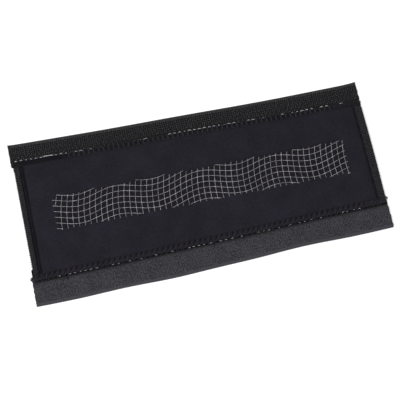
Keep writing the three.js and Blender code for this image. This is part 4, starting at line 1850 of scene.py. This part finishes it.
@dataclass
class PrintedNet:
    """The raised net print: rows run in a wave, cross lines lean a little."""

    plan: Plan
    panel: Panel
    # The rectangle that the net fills.
    height: float = 25.4
    margin_wide_end: float = 16.3
    margin_narrow_end: float = 14.0
    above_centre: float = 0.4
    slope: float = -0.006
    row_past: float = 0.15
    lower_cut: float = 0.6
    cut_lean: float = 0.005
    cross_inset: float = 1.8
    knot_inset: float = 0.3
    # The rows.
    rows: Sequence[int] = range(-7, 8)
    row_spacing: float = 4.15
    row_start: float = -1.12
    row_drift: float = 0.031
    waves: Sequence[Wave] = (Wave(2.58, 55.9, -0.6), Wave(0.88, 108.4, 11.6), Wave(0.2, 38.5, 13.3))
    # The cross lines.
    cross_spacing: float = 4.01
    cross_start: float = -0.56
    cross_shift: float = -0.11
    cross_lean: float = 0.108
    lean_change: float = -0.0006
    lean_from: float = 0.4
    cross_bow: float = 0.0057
    # The strands of ink and the knots where they meet.
    strand: float = 0.44
    film: float = 0.15
    roundness: float = 1.6
    step: float = 0.55
    bend: float = 0.025
    bend_pace: float = 1.9
    rough: float = 0.16
    thinnest: float = 0.6
    thickest: float = 1.35
    lift: float = 0.02
    knot: float = 0.36
    knot_change: float = 0.25
    knot_lift: float = 0.05
    knot_widths: Sequence[float] = (0.5, 1.45, 0.5)
    seed: int = 5

    @property
    def left(self) -> float:
        """The rectangle's edge towards the wide end."""
        return self.plan.panel_left + self.plan.end_band + self.margin_wide_end

    @property
    def right(self) -> float:
        """The rectangle's edge towards the narrow end."""
        return self.plan.panel_right - self.plan.end_band - self.margin_narrow_end

    @property
    def crosses(self) -> Sequence[int]:
        """The numbers of the cross lines, with some to spare at both ends."""
        first, last = int(self.left / self.cross_spacing), int(self.right / self.cross_spacing)
        return range(first - 2, last + 3)

    def centre(self, x: Array) -> Array:
        """Return the rectangle's middle line."""
        middle = (self.plan.straight_upper(0.0) + self.plan.straight_lower(0.0)) / 2
        return middle + self.above_centre + self.slope * x

    def row(self, k: int, x: Array) -> Array:
        """Return a row's distance from the middle line."""
        waves = sum(wave.at(x) for wave in self.waves)
        return self.row_start + k * self.row_spacing + self.row_drift * x + waves

    def cross(self, i: int, off: Array) -> Array:
        """Return where a cross line lies at distances from the middle line."""
        x = self.cross_start + i * self.cross_spacing
        lean = self.cross_lean + self.lean_change * x
        return x + self.cross_shift + lean * (off - self.lean_from) + self.cross_bow * off**2

    def lines(self) -> list[Array]:
        """Return every strand's points in plan, cut off at the rectangle."""
        half = self.height / 2
        found = []
        xs = np.arange(self.left, self.right, self.step)
        for k in self.rows:
            off = self.row(k, xs)
            tilted = off + self.cut_lean * xs
            inside = (tilted < half + self.row_past) & (tilted > self.lower_cut - half)
            edges = np.flatnonzero(np.diff(np.concatenate([[0], inside.astype(int), [0]])))
            for a, b in zip(edges[::2], edges[1::2]):
                if b - a > 2:
                    found.append(np.stack([xs[a:b], self.centre(xs[a:b]) + off[a:b]], 1))
        across = np.arange(self.lower_cut - half, half - self.row_past, self.step)
        for i in self.crosses:
            x = self.cross(i, across)
            inside = (x > self.left + self.cross_inset) & (x < self.right)
            if inside.sum() > 2:
                found.append(np.stack([x[inside], self.centre(x[inside]) + across[inside]], 1))
        return found

    def knots(self) -> list[Array]:
        """Return the plan places where rows and cross lines meet."""
        most = self.height / 2 - self.knot_inset
        found = []
        for i in self.crosses:
            for k in self.rows:
                x = self.cross_start + i * self.cross_spacing
                for _ in range(3):
                    off = self.row(k, x)
                    x = self.cross(i, off)
                if self.left + self.cross_inset < x < self.right and abs(off) < most:
                    found.append(np.array([x, self.centre(x) + off]))
        return found

    def on_panel(self, line: Array, lift: float) -> Array:
        """Return plan points with their height on the panel, raised a little."""
        return np.column_stack([line, self.panel.top(line[:, 0], line[:, 1]) + lift])

    def build(self, material: Material) -> Object:
        """Return the print as one raised mesh that lies on the panel."""
        rng = np.random.default_rng(self.seed)
        paths, widths = [], []
        for line in self.lines():
            start = rng.uniform(0, 6)
            bend = self.bend * np.sin(np.arange(len(line)) * self.bend_pace + start)
            paths.append(self.on_panel(line + bend[:, None], self.lift))
            rough = np.pad(rng.normal(0.0, self.rough, len(line)), 1, mode="edge")
            soft = np.convolve(rough, np.ones(3) / 3, mode="valid")
            widths.append(np.clip(1.0 + soft, self.thinnest, self.thickest))
        for middle in self.knots():
            share = rng.uniform(1.0 - self.knot_change, 1.0 + self.knot_change)
            way = rng.uniform(0.0, math.pi)
            reach = np.array([math.cos(way), math.sin(way)]) * share * self.knot
            ends = np.array([middle - reach, middle, middle + reach])
            paths.append(self.on_panel(ends, self.knot_lift))
            widths.append(np.array(self.knot_widths) * share)
        return thread_mesh(
            "printed_net_ink", paths, material, self.strand / 2,
            flatness=self.film / self.strand * self.roundness, widths=widths,
        )


@dataclass(frozen=True)
class Tuft:
    """Cut thread tails side by side at one corner of the panel."""

    side: Side
    end: Side
    inset: float
    first: float
    spacing: float
    height: float
    lengths: Sequence[float]
    curl: float = 0.2


@dataclass
class LooseEnds:
    """Cut thread tails at the ends of the long seams, and a few along the lower one."""

    plan: Plan
    radius: float = 0.34
    flatness: float = 0.8
    twist: float = 0.8
    points: int = 14
    bend: float = 3.0
    fallen_height: float = 0.5
    tufts: Sequence[Tuft] = (
        Tuft(Side.LOWER, Side.LEFT, 0.8, 4.3, 0.62, 2.2, (2.7, 3.2, 3.4, 3.1, 2.6, 2.0, 1.7)),
        Tuft(Side.LOWER, Side.RIGHT, 0.6, 5.7, 0.6, 2.2, (1.3, 1.8, 2.1, 1.8)),
        Tuft(Side.UPPER, Side.LEFT, 0.8, -0.8, 0.6, 1.9, (2.3, 2.7, 2.7, 2.2), 0.25),
        Tuft(Side.UPPER, Side.RIGHT, 0.7, -0.8, 0.9, 1.9, (1.5, 1.1, 0.9)),
    )
    west: Triple = (-1.0, -0.06, 0.0)
    east: Triple = (1.0, 0.12, 0.0)
    # The tails that lie on the loop tape: place along the seam and length.
    fallen: Sequence[Pair] = ((-102.0, 2.6), (0.2, 1.6), (22.0, 1.4), (21.4, 1.0))
    fallen_way: Triple = (0.5, -0.86, 0.0)
    fallen_out: float = 0.2
    fallen_over_tape: float = 0.35
    fallen_curl: float = 0.3

    def tail(self, start: Array, way: Sequence[float], length: float, curl: float) -> Array:
        """Return one tail's path.

        Args:
            start: Where it leaves the seam.
            way: Its direction in plan.
            length: How long it is.
            curl: How much it bends sideways.

        Returns:
            Points in millimetres.
        """
        t = np.linspace(0.0, 1.0, self.points)
        aside = (-way[1], way[0], 0.0)
        bend = np.outer(curl * np.sin(t * self.bend), aside)
        return start + np.outer(t * length, way) + bend

    def tuft(self, tuft: Tuft) -> list[Array]:
        """Return the paths of one tuft's tails, which fall towards the table."""
        plan = self.plan
        left = tuft.end is Side.LEFT
        end = plan.panel_left if left else plan.panel_right
        edge = plan.upper_edge(end) if tuft.side is Side.UPPER else plan.lower_edge(end)
        x = end + tuft.inset if left else end - tuft.inset
        paths = []
        for k, length in enumerate(tuft.lengths):
            start = np.array([x, edge + tuft.first - tuft.spacing * k, tuft.height])
            way = self.west if left else self.east
            path = self.tail(start, way, length, tuft.curl * (-1) ** k)
            path[:, 2] = np.linspace(tuft.height, self.fallen_height, self.points)
            paths.append(path)
        return paths

    def build(self, material: Material) -> Object:
        """Return all tails as one piece."""
        paths = [path for tuft in self.tufts for path in self.tuft(tuft)]
        height = self.plan.loop_thickness + self.fallen_over_tape
        for x, length in self.fallen:
            start = np.array([x, self.plan.lower_edge(x) - self.fallen_out, height])
            paths.append(self.tail(start, self.fallen_way, length, self.fallen_curl))
        return thread_mesh(
            "loose_thread_ends", paths, material, self.radius, self.flatness, self.twist
        )


@dataclass(frozen=True)
class Lamp:
    """A large soft lamp, in metres and watts."""

    name: str
    place: Triple
    size: float
    power: float

    def hang(self) -> None:
        """Add the lamp to the scene, aimed at the object."""
        light = bpy.data.lights.new(self.name, "AREA")
        light.shape = "DISK"
        light.size = self.size
        light.energy = self.power
        made = bpy.data.objects.new(self.name, light)
        made.location = self.place
        made.rotation_euler = Vector(self.place).to_track_quat("Z", "Y").to_euler()
        bpy.context.scene.collection.objects.link(made)


@dataclass
class Studio:
    """Camera, floor and soft light."""

    azimuth: float = math.radians(-12.107)
    elevation: float = math.radians(72.686)
    distance: float = 875.0
    target: Sequence[float] = (-1.34, -8.32, 0.0)
    view_angle: float = math.radians(18.0)
    near_clip: float = 0.01
    far_clip: float = 20.0
    floor_size: float = 3000.0
    floor_drop: float = 0.05
    paper: float = 0.86
    paper_roughness: float = 0.95
    paper_glow: float = 0.22
    surround: float = 0.62
    lamps: Sequence[Lamp] = (
        Lamp("key_lamp", (-0.58, -0.5, 1.1), size=0.8, power=11.6),
        Lamp("fill_lamp", (0.8, 0.5, 1.3), size=1.0, power=2.6),
    )

    def camera(self) -> None:
        """Set the camera at the photograph's angle."""
        made = bpy.data.cameras.new("camera")
        made.sensor_fit = "HORIZONTAL"
        made.angle = self.view_angle
        made.clip_start = self.near_clip
        made.clip_end = self.far_clip
        holder = bpy.data.objects.new("camera", made)
        bpy.context.scene.collection.objects.link(holder)
        ca, sa = math.cos(self.azimuth), math.sin(self.azimuth)
        ce, se = math.cos(self.elevation), math.sin(self.elevation)
        back = Vector((sa * ce, -ca * ce, se))
        holder.location = (Vector(self.target) + back * self.distance) * MM
        holder.rotation_euler = back.to_track_quat("Z", "Y").to_euler()
        bpy.context.scene.camera = holder

    def floor(self) -> None:
        """Add the pale floor, which shows white but keeps the object's shadow."""
        half, low = self.floor_size / 2, -self.floor_drop
        corners = [(-half, -half, low), (half, -half, low), (half, half, low), (-half, half, low)]
        shop = Shop("floor_paper")
        glow = shop.mix(shop.backdrop_rays(), grey(0.0), grey(self.paper_glow))
        paper = shop.finish(
            Base_Color=grey(self.paper), Roughness=self.paper_roughness,
            Emission_Color=glow, Emission_Strength=1.0,
        )
        made = add_object("floor", mesh_of("floor", corners, [(0, 1, 2, 3)]), paper)

    def world(self) -> None:
        """Set an even pale surround, which the camera sees as white."""
        world = bpy.data.worlds.new("studio")
        world.use_nodes = True
        nodes, links = world.node_tree.nodes, world.node_tree.links
        back = nodes["Background"]
        back.inputs["Color"].default_value = grey(1.0)
        rays = nodes.new("ShaderNodeLightPath")
        total = rays.outputs["Is Camera Ray"]
        for name in ("Is Glossy Ray", "Is Transmission Ray"):
            either = nodes.new("ShaderNodeMath")
            either.operation = "MAXIMUM"
            links.new(total, either.inputs[0])
            links.new(rays.outputs[name], either.inputs[1])
            total = either.outputs[0]
        strength = nodes.new("ShaderNodeMapRange")
        strength.inputs["To Min"].default_value = self.surround
        links.new(total, strength.inputs["Value"])
        links.new(strength.outputs[0], back.inputs["Strength"])
        bpy.context.scene.world = world

    def build(self) -> None:
        """Set up the whole studio."""
        self.camera()
        self.floor()
        self.world()
        for lamp in self.lamps:
            lamp.hang()
        bpy.context.scene.view_settings.view_transform = "Standard"


def place(piece: Object, slot: str, *nodes: str) -> None:
    """Ride a piece on the body and hide the solids that it replaces.

    Args:
        piece: The piece.
        slot: The record's material slot, which is not used here.
        *nodes: The nodes that it replaces.
    """
    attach(piece, BODY)
    if nodes:
        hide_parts(*nodes)
    log.info("%s: %d faces", piece.name, len(piece.data.polygons))


def main() -> None:
    """Build the guard and the studio."""
    plan = Plan()
    Studio().build()
    panel = Panel(plan)
    foam = panel.build(PanelCloth().material())
    place(foam, "panel_cloth", "neoprene_panel")

    hook_tape = HookTape(plan)
    ground = hook_tape.ground(HookGround().material())
    hooks = hook_tape.hooks(Nylon().material())
    place(ground, "hook_cloth", "hook_tape")
    place(hooks, "hook_cloth")

    loop_tape = LoopTape(plan)
    back = loop_tape.weave(TwillBack().material())
    pile_yarn = Yarn("loop_pile_yarn", light=0.045, dark=0.025, blue=0.1, roughness=0.8)
    pile = loop_tape.pile(pile_yarn.material())
    place(back, "loop_cloth", "loop_tape")
    place(pile, "loop_cloth")

    # Lit and shaded copies of one black thread: the loopers' copy is painted lighter, as painted
    # light.
    black = Yarn("black_thread_painted_light", light=0.030, dark=0.010, blue=0.12, roughness=0.55)
    # Painted shade: the needle thread's darker copy, also used for the ends' under loopers and the
    # tails.
    shaded = Yarn("black_thread_painted_shade", light=0.008, dark=0.003, blue=0.12, roughness=0.65)
    pale = Yarn("pale_sewing_thread", light=0.68, dark=0.42, blue=0.01, roughness=0.6)
    black, shaded, pale = (yarn.material() for yarn in (black, shaded, pale))
    for side in Side:
        seam = Seam(plan, panel, side)
        name = side.value
        place(seam.top_looper(black), "black_thread", f"{name}_seam_top_looper")
        place(seam.needle(shaded), "black_thread", f"{name}_seam_needle_thread")
        under_looper = f"{name}_seam_under_looper"
        if seam.is_long:
            place(seam.pale_under_looper(pale), "pale_thread", under_looper)
        else:
            place(seam.black_under_looper(shaded), "black_thread", under_looper)

    place(PrintedNet(plan, panel).build(SilverInk().material()), "print_ink", "printed_net")
    place(LooseEnds(plan).build(shaded), "black_thread")


if __name__ == "__main__":
    logging.basicConfig(level=logging.INFO, format="%(message)s")
    main()
